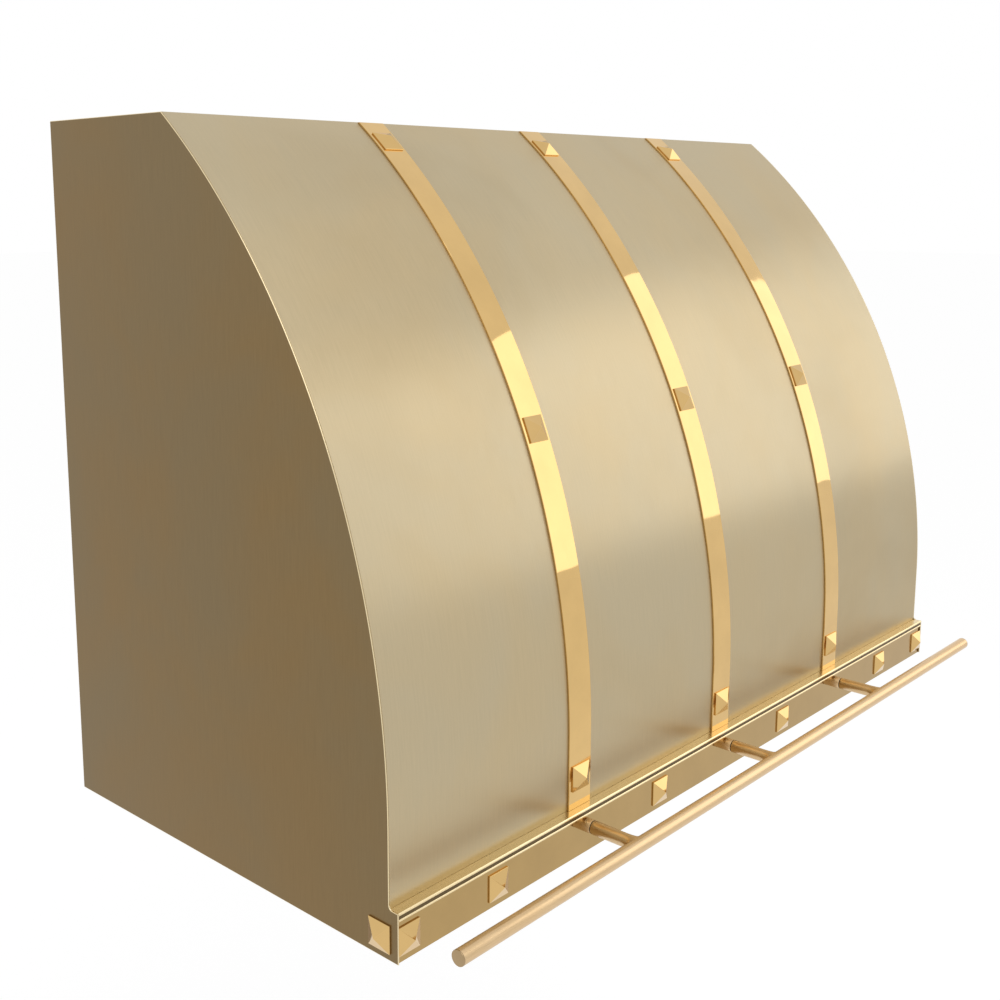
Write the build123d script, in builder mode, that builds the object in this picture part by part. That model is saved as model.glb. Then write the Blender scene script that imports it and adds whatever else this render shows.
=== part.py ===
from build123d import *
from math import asin, cos, degrees, hypot, radians, sin, tan
import os

# Barrel range hood of brass sheet with a pot rail, a stainless liner and a blower.
# Millimetres. +Z is up, the wall is at +Y, the front faces -Y, X runs to the right.
# The origin is the middle of the bottom of the whole object.

# Shell of the hood
hood_width = 1524.0
hood_height = 1041.0
top_depth = 279.0
shell_depth = 695.0
ledge_depth = 711.0
ledge_height = 68.0
foot_rise = 100.0
brass_sheet = 2.0
back_sheet = 1.5
foot_cove = 6.0

# Ledge bar and apron band
lip_height = 11.0
ledge_tail = 8.0
ledge_edge = 0.8
apron_setback = 3.0
apron_wall = 3.0
apron_foot = 24.0

# Straps over the barrel
strap_width = 50.0
strap_thickness = 3.0
strap_gap = 0.1
bay_count = 4

# Pyramid studs and their nuts
stud_size = 38.0
stud_edge = 2.0
stud_height = 12.0
stud_tip = 0.8
stud_end_margin = 46.0
stud_side_setback = 32.0
shank_diameter = 5.0
shank_spare = 2.0
nut_flats = 8.0
nut_height = 4.0
hole_clearance = 0.25
seat_gap = 0.05

# Ribs behind the barrel
rib_depth = 35.0
rib_thickness = 3.0
rib_gap = 0.1
rib_foot_gap = 6.0

# Pot rail
rail_diameter = 21.0
rail_wall = 2.0
rail_standoff = 89.0
rail_height = 44.0
rail_end_inset = 10.0
cap_thickness = 2.0
cap_round = 0.8
cap_plug_length = 10.0
post_diameter = 20.0
spacer_length = 15.0
neck_length = 1.2
neck_diameter = 16.0
cope_gap = 0.1
rail_bolt_diameter = 8.0
rail_bolt_reach = 45.0
rail_bolt_head_diameter = 13.0
rail_bolt_head_height = 5.0

# Wall fixing
mount_span_outer = 1219.2
mount_span_inner = 406.4
mount_row_low = 260.0
mount_row_drop = 81.0
mount_hole = 10.0
mount_bar_height = 40.0
mount_bar_thickness = 4.0
mount_bar_margin = 45.0

# Stainless liner
steel_sheet = 1.5
liner_height = 20.0
liner_side_gap = 1.0
liner_front_gap = 2.0
liner_rear_gap = 1.5
well_setback = 121.0
well_rear_depth = 50.0
well_side_gap = 6.0
well_top = 210.0
box_width = 600.0
box_front_depth = 495.0
box_foot = 330.0
box_top = 690.0
bracket_leg = 20.0
bracket_rear_depth = 60.0
bracket_setback = 71.0
screw_diameter = 4.0
screw_head_diameter = 8.0
screw_head_height = 2.4
screw_count = 4
screw_first_depth = 100.0
screw_setback = 91.0

# Baffle filters
filter_count = 4
filter_side_margin = 56.0
filter_front_gap = 38.27
filter_thickness = 20.0
filter_gap = 4.0
filter_border = 20.0
filter_slope = 12.0
filter_rear_depth = 92.0
filter_seat_gap = 0.3
baffle_count = 8
baffle_width = 24.0
baffle_rim = 7.0
baffle_sheet = 1.2
baffle_bite = 2.0

# Bail handles of the filters
bail_wire = 4.0
bail_drop = 28.0
bail_bend = 6.0
bail_tail = 1.0
bail_from_front = 50.0
lug_thickness = 3.0
lug_width = 10.0
lug_drop = 6.0
running_gap = 0.05

# Grease trough and cup
trough_front_depth = 121.5
trough_height = 36.0
trough_rim = 57.0
drain_diameter = 14.0
cup_width = 180.0
cup_length = 50.0
cup_height = 20.0
cup_rim = 4.0
cup_wall = 1.2
cup_rear_depth = 62.0
cup_gap = 0.3
runner_drop = 6.0
runner_lip = 5.0

# Lamps
lamp_hole = 62.0
lamp_bezel_diameter = 76.0
lamp_bezel_height = 3.0
lamp_can_height = 28.0
lamp_can_wall = 1.5
lens_diameter = 56.0
lens_thickness = 3.0
lens_gap = 0.2

# Knobs and their box
knob_diameter = 36.0
knob_height = 16.0
knob_gap = 0.6
knob_spacing = 110.0
knob_flutes = 12
knob_flute_diameter = 5.0
knob_stem = 6.0
knob_stem_reach = 22.0
knob_stem_end = 21.0
knob_mark_depth = 1.0
control_width = 220.0
control_length = 80.0
control_height = 32.0
front_strip_setback = 66.0

# Blower
fan_depth = 270.0
fan_height = 490.0
scroll_start = 145.0
scroll_step = 24.0
scroll_width = 220.0
scroll_cut = 55.0
scroll_nose = 125.0
outlet_rim = 12.0
inlet_diameter = 178.0
inlet_ring_width = 8.0
inlet_ring_height = 7.0
wheel_diameter = 240.0
wheel_width = 190.0
wheel_ring_width = 12.0
wheel_ring_thickness = 3.0
wheel_disc_thickness = 2.5
blade_count = 30
blade_radius = 14.0
blade_sheet = 1.4
blade_start = 205.0
blade_sweep = 110.0
hub_diameter = 44.0
hub_width = 40.0
shaft_diameter = 12.0
motor_diameter = 110.0
motor_length = 96.0
motor_offset = 34.0
motor_boss_diameter = 34.0
motor_boss_length = 8.0
shaft_hole_spare = 1.0
motor_round = 6.0
arm_count = 3
arm_width = 22.0
arm_thickness = 3.0
arm_radius = 108.0

# Duct and damper
duct_diameter = 203.2
duct_depth = 140.0
duct_top_gap = 0.5
transition_flange = 14.0
transition_height = 80.0
collar_flange = 22.0
collar_flange_sheet = 2.0
duct_socket = 88.0
damper_drop = 111.0
damper_rod_diameter = 5.0
knuckle_diameter = 9.0
knuckle_length = 40.0
knuckle_gap = 1.0
flap_sheet = 1.2
flap_edge_gap = 2.0
stop_width = 8.0
stop_height = 2.0
stop_gap = 0.3

# Electrical entry
junction_width = 120.0
junction_height = 100.0
junction_depth = 48.0
junction_x = 390.0
junction_drop = 121.0
bushing_bore = 19.0
bushing_hole = 24.0
bushing_flange = 30.0
bushing_length = 12.0
bushing_flange_height = 3.0
bushing_depth = 60.0

# What follows from the sizes above
overall_depth = ledge_depth + rail_standoff + rail_diameter / 2
wall_y = overall_depth / 2
mount_row_high = hood_height - mount_row_drop
well_front_depth = ledge_depth - well_setback
bracket_front_depth = ledge_depth - bracket_setback
screw_last_depth = ledge_depth - screw_setback
front_strip_depth = ledge_depth - front_strip_setback
slope = radians(filter_slope)
filter_length = (well_front_depth - filter_front_gap - filter_rear_depth) / cos(slope)
filters_across = hood_width - 2 * filter_side_margin - (filter_count - 1) * filter_gap
filter_width = filters_across / filter_count
baffle_pitch = (filter_width - 2 * filter_border) / baffle_count
damper_height = hood_height - damper_drop
junction_top = hood_height - junction_drop


def y_at(depth):
    """Y of a point that stands this depth in front of the wall."""
    return wall_y - depth


def front_plane(x, depth, height):
    """Upright plane at a depth, looking to the front, with its x along the hood."""
    return Plane(origin=(x, y_at(depth), height), x_dir=(1, 0, 0), z_dir=(0, -1, 0))


def end_plane(x, depth, height, side):
    """Upright plane across the hood, looking to the left (-1) or right (1)."""
    return Plane(origin=(x, y_at(depth), height), x_dir=(0, 1, 0), z_dir=(side, 0, 0))


inner_half = hood_width / 2 - brass_sheet
bay_width = hood_width / bay_count
strap_places = [bay_width * (k + 1) - hood_width / 2 for k in range(bay_count - 1)]
bay_middles = [bay_width * (k + 0.5) - hood_width / 2 for k in range(bay_count)]
left_name, center_name, right_name = "left", "center", "right"

# The barrel is an upright strip that runs into one arc, tangent to it.
arc_foot = ledge_height + foot_rise
arc_rise = hood_height - arc_foot
arc_run = shell_depth - top_depth
arc_radius = (arc_run**2 + arc_rise**2) / (2 * arc_run)
arc_y = y_at(shell_depth) + arc_radius


def arc_sweep(radius, top):
    """Degrees of a concentric arc from the tangent point up to a height."""
    return degrees(asin((top - arc_foot) / radius))


def barrel_section(outset, inset, foot, top):
    """Face between two offsets of the barrel's outer surface, for a YZ plane."""
    outer = arc_radius + outset
    inner = arc_radius - inset
    with BuildSketch() as section:
        with BuildLine():
            outer_arc = CenterArc((arc_y, arc_foot), outer, 180, -arc_sweep(outer, top))
            inner_arc = CenterArc((arc_y, arc_foot), inner, 180, -arc_sweep(inner, top))
            Line(outer_arc @ 1, inner_arc @ 1)
            Polyline(outer_arc @ 0, (arc_y - outer, foot), (arc_y - inner, foot), inner_arc @ 0)
        make_face()
    return section.sketch


strap_outset = strap_gap + strap_thickness
strap_radius = arc_radius + strap_outset
strap_arc_length = strap_radius * radians(arc_sweep(strap_radius, hood_height))
strap_length = foot_rise + strap_arc_length


def strap_plane(x, along):
    """Plane on a strap's face, this far along it from the ledge, looking outward."""
    if along <= foot_rise:
        centre = (x, arc_y - strap_radius, ledge_height + along)
        return Plane(origin=centre, x_dir=(1, 0, 0), z_dir=(0, -1, 0))
    turn = (along - foot_rise) / strap_radius
    centre = (x, arc_y - strap_radius * cos(turn), arc_foot + strap_radius * sin(turn))
    return Plane(origin=centre, x_dir=(1, 0, 0), z_dir=(0, -cos(turn), sin(turn)))


apron_depth = ledge_depth - apron_setback
apron_top = ledge_height - lip_height
stud_level = apron_top / 2
end_stud_x = hood_width / 2 - stud_size / 2 - brass_sheet
side_stud_depth = ledge_depth - stud_side_setback

strap_stud_places = [stud_end_margin, strap_length / 2, strap_length - stud_end_margin]
strap_stud_planes = [strap_plane(x, s) for x in strap_places for s in strap_stud_places]
apron_stud_x = [-end_stud_x] + bay_middles + [end_stud_x]
apron_stud_planes = [front_plane(x, apron_depth, stud_level) for x in apron_stud_x]
side_stud_planes = [
    end_plane(side * hood_width / 2, side_stud_depth, stud_level, side) for side in (-1, 1)
]
shank_hole = shank_diameter / 2 + hole_clearance
hole_reach = 20.0


below = (Align.CENTER, Align.CENTER, Align.MAX)
above = (Align.CENTER, Align.CENTER, Align.MIN)


def save(piece, name):
    """Label a finished piece and write its file."""
    piece.part.label = name
    export_step(piece.part, f"parts/{name}.step")


os.makedirs("parts", exist_ok=True)

# Side panels


def side_panel(name, side):
    """Flat end sheet with the barrel's curve, the ledge's step and a small cove."""
    front = y_at(shell_depth)
    with BuildPart() as panel:
        with BuildSketch(Plane.YZ.offset(side * (hood_width / 2 - brass_sheet / 2))):
            with BuildLine():
                arc = CenterArc((arc_y, arc_foot), arc_radius, 180, -arc_sweep(arc_radius, hood_height))
                cove_centre = (front - foot_cove, ledge_height + foot_cove)
                cove = CenterArc(cove_centre, foot_cove, 270, 90)
                Line(cove @ 1, arc @ 0)
                Polyline(arc @ 1, (y_at(0), hood_height), (y_at(0), 0), (y_at(ledge_depth), 0))
                Polyline((y_at(ledge_depth), 0), (y_at(ledge_depth), ledge_height), cove @ 0)
            make_face()
        extrude(amount=brass_sheet / 2, both=True)
        with Locations(side_stud_planes[0 if side < 0 else 1]):
            Hole(shank_hole, depth=hole_reach)
    save(panel, name)


side_panel("left_side_panel", -1)
side_panel("right_side_panel", 1)

# Curved front sheet
with BuildPart() as barrel_front:
    with BuildSketch(Plane.YZ):
        add(barrel_section(0, brass_sheet, ledge_height, hood_height))
    extrude(amount=inner_half, both=True)
    with Locations(strap_stud_planes):
        Hole(shank_hole, depth=hole_reach)
save(barrel_front, "barrel_front")

# Top panel, between the back sheet and the barrel's inner edge
barrel_inner = arc_radius - brass_sheet
barrel_inner_top = arc_y - barrel_inner * cos(radians(arc_sweep(barrel_inner, hood_height)))
collar_outer = duct_diameter / 2 + steel_sheet
top_front_y = barrel_inner_top + seat_gap
with BuildPart() as top_panel:
    with BuildSketch(Plane.XY.offset(hood_height - brass_sheet)):
        with Locations((0, (top_front_y + y_at(0)) / 2)):
            Rectangle(2 * inner_half, y_at(0) - top_front_y)
        with Locations((0, y_at(duct_depth))):
            Circle(collar_outer + duct_top_gap, mode=Mode.SUBTRACT)
        with Locations((junction_x, y_at(bushing_depth))):
            Circle(bushing_hole / 2, mode=Mode.SUBTRACT)
    extrude(amount=brass_sheet)
save(top_panel, "top_panel")

# Back panel and the two bars behind its wall bolt holes
mount_points = [
    (sign * span / 2, row)
    for span in (mount_span_outer, mount_span_inner)
    for sign in (-1, 1)
    for row in (mount_row_low, mount_row_high)
]
back_top = hood_height - brass_sheet
with BuildPart() as back_panel:
    with BuildSketch(Plane.XZ.offset(-y_at(0))):
        with Locations((0, back_top / 2)):
            Rectangle(2 * inner_half, back_top)
        with Locations(mount_points):
            Circle(mount_hole / 2, mode=Mode.SUBTRACT)
    extrude(amount=back_sheet)
save(back_panel, "back_panel")

bar_length = mount_span_outer + 2 * mount_bar_margin
with BuildPart() as mounting_bars:
    with BuildSketch(Plane.XZ.offset(-y_at(back_sheet))):
        with Locations((0, mount_row_low), (0, mount_row_high)):
            Rectangle(bar_length, mount_bar_height)
        with Locations(mount_points):
            Circle(mount_hole / 2, mode=Mode.SUBTRACT)
    extrude(amount=mount_bar_thickness)
save(mounting_bars, "mounting_bars")

# Ledge bar under the barrel's foot
ledge_back = shell_depth - ledge_tail
with BuildPart() as ledge_trim:
    with BuildSketch(Plane.YZ):
        with Locations(((y_at(ledge_depth) + y_at(ledge_back)) / 2, ledge_height - lip_height / 2)):
            Rectangle(ledge_depth - ledge_back, lip_height)
    extrude(amount=inner_half, both=True)
    front_edges = ledge_trim.edges().filter_by(Axis.X).group_by(Axis.Y)[0]
    chamfer(front_edges, ledge_edge)
save(ledge_trim, "ledge_trim")

# Apron band below the ledge: an angle with its foot turned inward
with BuildPart() as apron_band:
    with BuildSketch(Plane.YZ):
        with BuildLine():
            front = y_at(apron_depth)
            Polyline(
                (front, 0),
                (front, apron_top),
                (front + apron_wall, apron_top),
                (front + apron_wall, brass_sheet),
                (front + apron_foot, brass_sheet),
                (front + apron_foot, 0),
                close=True,
            )
        make_face()
    extrude(amount=inner_half, both=True)
    with Locations(apron_stud_planes):
        Hole(shank_hole, depth=hole_reach)
    with Locations([front_plane(x, apron_depth, rail_height) for x in strap_places]):
        Hole(rail_bolt_diameter / 2 + hole_clearance, depth=hole_reach)
save(apron_band, "apron_band")

# Straps, each following the barrel from the ledge to the top edge
for place, x in zip((left_name, center_name, right_name), strap_places):
    with BuildPart() as strap:
        with BuildSketch(Plane.YZ.offset(x)):
            add(barrel_section(strap_outset, -strap_gap, ledge_height, hood_height))
        extrude(amount=strap_width / 2, both=True)
        with Locations([plane for plane in strap_stud_planes if plane.origin.X == x]):
            Hole(shank_hole, depth=hole_reach)
    save(strap, f"strap_{place}")


# Pyramid studs, with the shanks that hold them
def stud(wall):
    """Pyramid on a thin square edge, with a shank through a wall and its nut."""
    shank_length = wall + nut_height + shank_spare
    with BuildPart() as body:
        with BuildSketch():
            Rectangle(stud_size, stud_size)
        extrude(amount=stud_edge)
        with BuildSketch(Plane.XY.offset(stud_edge)):
            Rectangle(stud_size, stud_size)
        with BuildSketch(Plane.XY.offset(stud_height)):
            Rectangle(stud_tip, stud_tip)
        loft()
        Cylinder(shank_diameter / 2, shank_length, align=below)
    return body.part


def stud_group(name, planes, wall):
    """All the studs of one surface, seated on their planes."""
    with BuildPart() as group:
        with Locations([plane.offset(seat_gap) for plane in planes]):
            add(stud(wall))
    save(group, name)


strap_wall = strap_thickness + strap_gap + brass_sheet
stud_group("strap_studs", strap_stud_planes, strap_wall)
stud_group("apron_studs", apron_stud_planes, apron_wall)
stud_group("side_studs", side_stud_planes, brass_sheet)

with BuildPart() as stud_nuts:
    nut_seats = [plane.offset(-strap_wall - seat_gap) for plane in strap_stud_planes]
    nut_seats += [plane.offset(-apron_wall - seat_gap) for plane in apron_stud_planes]
    nut_seats += [plane.offset(-brass_sheet - seat_gap) for plane in side_stud_planes]
    for seat in nut_seats:
        with BuildSketch(seat):
            RegularPolygon(nut_flats / 2, 6, major_radius=False)
            Circle(shank_diameter / 2 + seat_gap, mode=Mode.SUBTRACT)
        extrude(amount=-nut_height)
save(stud_nuts, "stud_nuts")

# Arched ribs behind the barrel, one in the middle of each bay
with BuildPart() as barrel_ribs:
    for x in bay_middles:
        with BuildSketch(Plane.YZ.offset(x)):
            rib_inset = brass_sheet + rib_gap
            rib_top = hood_height - brass_sheet - rib_gap
            rib_foot = ledge_height + rib_foot_gap
            add(barrel_section(-rib_inset, rib_inset + rib_depth, rib_foot, rib_top))
        extrude(amount=rib_thickness / 2, both=True)
save(barrel_ribs, "barrel_ribs")

# Pot rail: a tube with plugged ends, carried by three posts
rail_y = y_at(ledge_depth + rail_standoff)
rail_half = hood_width / 2 - rail_end_inset - cap_thickness
with BuildPart() as pot_rail:
    with BuildSketch(Plane.YZ):
        with Locations((rail_y, rail_height)):
            Circle(rail_diameter / 2)
            Circle(rail_diameter / 2 - rail_wall, mode=Mode.SUBTRACT)
    extrude(amount=rail_half, both=True)
save(pot_rail, "pot_rail")

with BuildPart() as rail_end_caps:
    for side in (-1, 1):
        end = end_plane(side * rail_half, ledge_depth + rail_standoff, rail_height, side)
        with BuildSketch(end):
            Circle(rail_diameter / 2)
        extrude(amount=cap_thickness)
        with BuildSketch(end):
            Circle(rail_diameter / 2 - rail_wall - seat_gap)
        extrude(amount=-cap_plug_length)
    outer_rims = rail_end_caps.edges().filter_by(GeomType.CIRCLE).sort_by(Axis.X)
    chamfer([outer_rims[0], outer_rims[-1]], cap_round)
save(rail_end_caps, "rail_end_caps")

post_root = apron_depth + spacer_length + neck_length
post_length = ledge_depth + rail_standoff - post_root
with BuildPart() as rail_spacers:
    for spacer_seat in [front_plane(x, apron_depth, rail_height) for x in strap_places]:
        with BuildSketch(spacer_seat):
            Circle(post_diameter / 2)
        extrude(amount=spacer_length)
        with BuildSketch(spacer_seat):
            Circle(neck_diameter / 2)
        extrude(amount=spacer_length + neck_length)
        with BuildSketch(spacer_seat):
            Circle(rail_bolt_diameter / 2 + hole_clearance)
        extrude(amount=spacer_length + neck_length, mode=Mode.SUBTRACT)
save(rail_spacers, "rail_spacers")

for place, x in zip((left_name, center_name, right_name), strap_places):
    post_seat = front_plane(x, post_root, rail_height)
    with BuildPart() as post:
        with BuildSketch(post_seat):
            Circle(post_diameter / 2)
        extrude(amount=post_length)
        with BuildSketch(Plane.YZ.offset(x)):
            with Locations((rail_y, rail_height)):
                Circle(rail_diameter / 2 + cope_gap)
        extrude(amount=post_diameter, both=True, mode=Mode.SUBTRACT)
        with BuildSketch(post_seat):
            Circle(rail_bolt_diameter / 2 + seat_gap)
        extrude(amount=rail_bolt_reach - spacer_length - neck_length, mode=Mode.SUBTRACT)
    save(post, f"rail_post_{place}")

with BuildPart() as rail_bolts:
    bolt_seat = apron_depth - apron_wall
    for x in strap_places:
        head = front_plane(x, bolt_seat, rail_height)
        with BuildSketch(head):
            RegularPolygon(rail_bolt_head_diameter / 2, 6, major_radius=False)
        extrude(amount=-rail_bolt_head_height)
        with BuildSketch(head):
            Circle(rail_bolt_diameter / 2)
        extrude(amount=apron_wall + rail_bolt_reach - hole_clearance)
save(rail_bolts, "rail_bolts")

# Stainless liner, seen from below: its front strip takes the lamps and the knobs
liner_half = inner_half - liner_side_gap
liner_front = apron_depth - apron_wall - liner_front_gap
liner_rear = back_sheet + liner_rear_gap
liner_top = liner_height + steel_sheet
filter_field = filter_count * filter_width + (filter_count - 1) * filter_gap
well_half = filter_field / 2 + well_side_gap
lamp_points = [(x, y_at(front_strip_depth)) for x in bay_middles]
knob_points = [(-knob_spacing / 2, y_at(front_strip_depth)), (knob_spacing / 2, y_at(front_strip_depth))]
screw_pitch = (screw_last_depth - screw_first_depth) / (screw_count - 1)
screw_depths = [screw_first_depth + k * screw_pitch for k in range(screw_count)]
screw_x = inner_half - bracket_leg / 2
screw_points = [(side * screw_x, y_at(depth)) for side in (-1, 1) for depth in screw_depths]
with BuildPart() as liner_front_strip:
    with BuildSketch(Plane.XY.offset(liner_height)):
        with Locations((0, (y_at(liner_front) + y_at(well_front_depth)) / 2)):
            Rectangle(2 * well_half, liner_front - well_front_depth)
        with Locations(lamp_points):
            Circle(lamp_hole / 2, mode=Mode.SUBTRACT)
        with Locations(knob_points):
            Circle(knob_stem / 2 + running_gap, mode=Mode.SUBTRACT)
    extrude(amount=steel_sheet)
save(liner_front_strip, "liner_front_strip")

# The plain strips at both ends of the well and behind it
with BuildPart() as liner_border_strips:
    with BuildSketch(Plane.XY.offset(liner_height)):
        with Locations((0, (y_at(well_rear_depth) + y_at(liner_rear)) / 2)):
            Rectangle(2 * (well_half - seat_gap), well_rear_depth - liner_rear)
        for side in (-1, 1):
            strip_middle = (y_at(liner_front) + y_at(liner_rear)) / 2
            with Locations((side * (well_half + liner_half) / 2, strip_middle)):
                Rectangle(liner_half - well_half, liner_front - liner_rear)
        with Locations(screw_points):
            Circle(screw_diameter / 2 + hole_clearance, mode=Mode.SUBTRACT)
    extrude(amount=steel_sheet)
save(liner_border_strips, "liner_border_strips")

with BuildPart() as liner_brackets:
    for side in (-1, 1):
        with BuildSketch(Plane.XZ.offset(-y_at(bracket_rear_depth))):
            wall_x = side * inner_half
            with BuildLine():
                Polyline(
                    (wall_x, liner_top),
                    (wall_x - side * bracket_leg, liner_top),
                    (wall_x - side * bracket_leg, liner_top + steel_sheet),
                    (wall_x - side * steel_sheet, liner_top + steel_sheet),
                    (wall_x - side * steel_sheet, liner_top + bracket_leg),
                    (wall_x, liner_top + bracket_leg),
                    close=True,
                )
            make_face()
        extrude(amount=bracket_front_depth - bracket_rear_depth)
    with Locations([(x, y, liner_top) for x, y in screw_points]):
        Hole(screw_diameter / 2 + hole_clearance, depth=hole_reach / 2)
save(liner_brackets, "liner_brackets")

with BuildPart() as liner_screws:
    with Locations([(x, y, liner_height) for x, y in screw_points]):
        Cylinder(screw_head_diameter / 2, screw_head_height, align=below)
        Cylinder(screw_diameter / 2, 2 * steel_sheet + screw_head_height, align=above)
save(liner_screws, "liner_screws")


# Stainless canopy: upright sheets round the filter well and round the blower's box
def sheet_ring(half, front_depth):
    """Plan of four sheets round a rectangle, the end sheets between the long ones."""
    span = front_depth - well_rear_depth
    with BuildSketch() as plan:
        for depth in (front_depth + steel_sheet / 2, well_rear_depth - steel_sheet / 2):
            with Locations((0, y_at(depth))):
                Rectangle(2 * (half + steel_sheet), steel_sheet)
        for side in (-1, 1):
            with Locations((side * (half + steel_sheet / 2), y_at(well_rear_depth + span / 2))):
                Rectangle(steel_sheet, span - 2 * seat_gap)
    return plan.sketch


box_half = box_width / 2
lid_foot = box_top - steel_sheet
with BuildPart() as canopy_walls:
    with BuildSketch(Plane.XY.offset(liner_top)):
        add(sheet_ring(well_half, well_front_depth))
    extrude(amount=well_top - liner_top)
    with BuildSketch(Plane.XY.offset(box_foot)):
        add(sheet_ring(box_half, box_front_depth))
    extrude(amount=lid_foot - box_foot)
save(canopy_walls, "canopy_walls")

# Sloping sheets between the well and the box, as thick across as the level cut makes them
slope_rise = box_foot - well_top
front_cut = steel_sheet * hypot(well_front_depth - box_front_depth, slope_rise) / slope_rise
end_cut = steel_sheet * hypot(well_half - box_half, slope_rise) / slope_rise


def slope_sheet(low, high):
    """Sheet from a rectangle at the well's top to one at the box's foot."""
    with BuildPart() as sheet:
        for level, (x_from, x_to, depth_from, depth_to) in ((well_top, low), (box_foot, high)):
            with BuildSketch(Plane.XY.offset(level)):
                with Locations(((x_from + x_to) / 2, y_at((depth_from + depth_to) / 2))):
                    Rectangle(x_to - x_from, depth_to - depth_from)
        loft()
    return sheet.part


def long_slope(depth_low, depth_high, thickness):
    """Sloping sheet that runs along the hood and covers the ends of the end sheets."""
    low = (-well_half - end_cut, well_half + end_cut, depth_low, depth_low + thickness)
    high = (-box_half - end_cut, box_half + end_cut, depth_high, depth_high + thickness)
    return slope_sheet(low, high)


def end_slope(side):
    """Sloping sheet at the left (-1) or right (1) end."""
    ends = []
    for half, front_depth in ((well_half, well_front_depth), (box_half, box_front_depth)):
        near, far = sorted((side * half, side * (half + end_cut)))
        ends.append((near, far, well_rear_depth + seat_gap, front_depth - seat_gap))
    return slope_sheet(*ends)


rear_outside = well_rear_depth - steel_sheet
with BuildPart() as canopy_slopes:
    add(long_slope(well_front_depth, box_front_depth, front_cut))
    add(long_slope(rear_outside, rear_outside, steel_sheet))
    add(end_slope(-1))
    add(end_slope(1))
save(canopy_slopes, "canopy_slopes")

# Lid of the box, open at the blower's outlet
outlet_rear = fan_depth - scroll_step / 2 - scroll_start - 2 * scroll_step
outlet_front = fan_depth - scroll_cut
outlet_half = scroll_width / 2
outlet_y = y_at((outlet_front + outlet_rear) / 2)
outlet_length = outlet_front - outlet_rear
with BuildPart() as canopy_lid:
    with BuildSketch(Plane.XY.offset(lid_foot)):
        with Locations((0, y_at((box_front_depth + well_rear_depth) / 2))):
            lid_length = box_front_depth - well_rear_depth + 2 * steel_sheet
            Rectangle(2 * (box_half + steel_sheet), lid_length)
        with Locations((0, outlet_y)):
            opening = (2 * (outlet_half - steel_sheet), outlet_length - 2 * steel_sheet)
            Rectangle(*opening, mode=Mode.SUBTRACT)
    extrude(amount=steel_sheet)
save(canopy_lid, "canopy_lid")

# Trough that carries the filters' rear ends, with the runners of the grease cup
trough_rear = well_rear_depth
trough_middle = (trough_front_depth + trough_rear) / 2
runner_x = cup_width / 2 + cup_rim + cup_gap
cup_top = trough_height - runner_drop + cup_gap + cup_wall
with BuildPart() as grease_trough:
    with BuildSketch(Plane.YZ):
        with BuildLine():
            rear = y_at(trough_rear)
            front = y_at(trough_front_depth)
            Polyline(
                (rear, trough_rim),
                (rear, trough_height),
                (front, trough_height),
                (front, trough_rim),
                (front + steel_sheet, trough_rim),
                (front + steel_sheet, trough_height + steel_sheet),
                (rear - steel_sheet, trough_height + steel_sheet),
                (rear - steel_sheet, trough_rim),
                close=True,
            )
        make_face()
    extrude(amount=well_half, both=True)
    for side in (-1, 1):
        with BuildSketch(Plane.YZ.offset(side * well_half)):
            with Locations((y_at(trough_middle), (trough_rim + trough_height) / 2)):
                Rectangle(trough_front_depth - trough_rear, trough_rim - trough_height)
        extrude(amount=-side * steel_sheet)
        with BuildSketch(Plane.XZ.offset(-y_at(trough_rear))):
            with BuildLine():
                Polyline(
                    (side * runner_x, trough_height),
                    (side * runner_x, trough_height - runner_drop),
                    (side * (runner_x - runner_lip), trough_height - runner_drop),
                    (side * (runner_x - runner_lip), trough_height - runner_drop - steel_sheet),
                    (side * (runner_x + steel_sheet), trough_height - runner_drop - steel_sheet),
                    (side * (runner_x + steel_sheet), trough_height),
                    close=True,
                )
            make_face()
        extrude(amount=trough_front_depth - trough_rear)
    with Locations((0, y_at(trough_middle), trough_height)):
        Hole(drain_diameter / 2, depth=2 * steel_sheet)
save(grease_trough, "grease_trough")

# Grease cup, hung by its rim on the runners
cup_middle = cup_rear_depth + cup_length / 2
with BuildPart() as grease_cup:
    with BuildSketch(Plane.XY.offset(cup_top)):
        with Locations((0, y_at(cup_middle))):
            Rectangle(cup_width + 2 * cup_rim, cup_length)
    extrude(amount=-cup_wall)
    with BuildSketch(Plane.XY.offset(cup_top)):
        with Locations((0, y_at(cup_middle))):
            Rectangle(cup_width - 2 * runner_lip, cup_length)
    extrude(amount=-cup_height)
    with BuildSketch(Plane.XY.offset(cup_top)):
        with Locations((0, y_at(cup_middle))):
            Rectangle(cup_width - 2 * runner_lip - 2 * cup_wall, cup_length - 2 * cup_wall)
    extrude(amount=-(cup_height - cup_wall), mode=Mode.SUBTRACT)
save(grease_cup, "grease_cup")

# Baffle filters: each lies on the trough's rim and on the front ledge
filter_places = [(k - (filter_count - 1) / 2) * (filter_width + filter_gap) for k in range(filter_count)]


def filter_underside(depth):
    """Height of the filters' undersides at a depth."""
    return trough_rim + filter_seat_gap + (depth - trough_front_depth + steel_sheet) * tan(slope)


def filter_plane(x):
    """Plane of a filter's underside, with its origin at the middle of the rear edge."""
    centre = (x, y_at(filter_rear_depth), filter_underside(filter_rear_depth))
    return Plane(origin=centre, x_dir=(1, 0, 0), z_dir=(0, sin(slope), cos(slope)))


lug_x = 1.5 * baffle_pitch
bail_half = lug_x - lug_thickness / 2 - bail_bend - 2 * running_gap
bail_tip = lug_x + lug_thickness / 2 + bail_tail
bail_y = -(filter_length - bail_from_front)
bail_z = -lug_drop
baffle_length = filter_length - 2 * filter_border + 2 * baffle_bite


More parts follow.
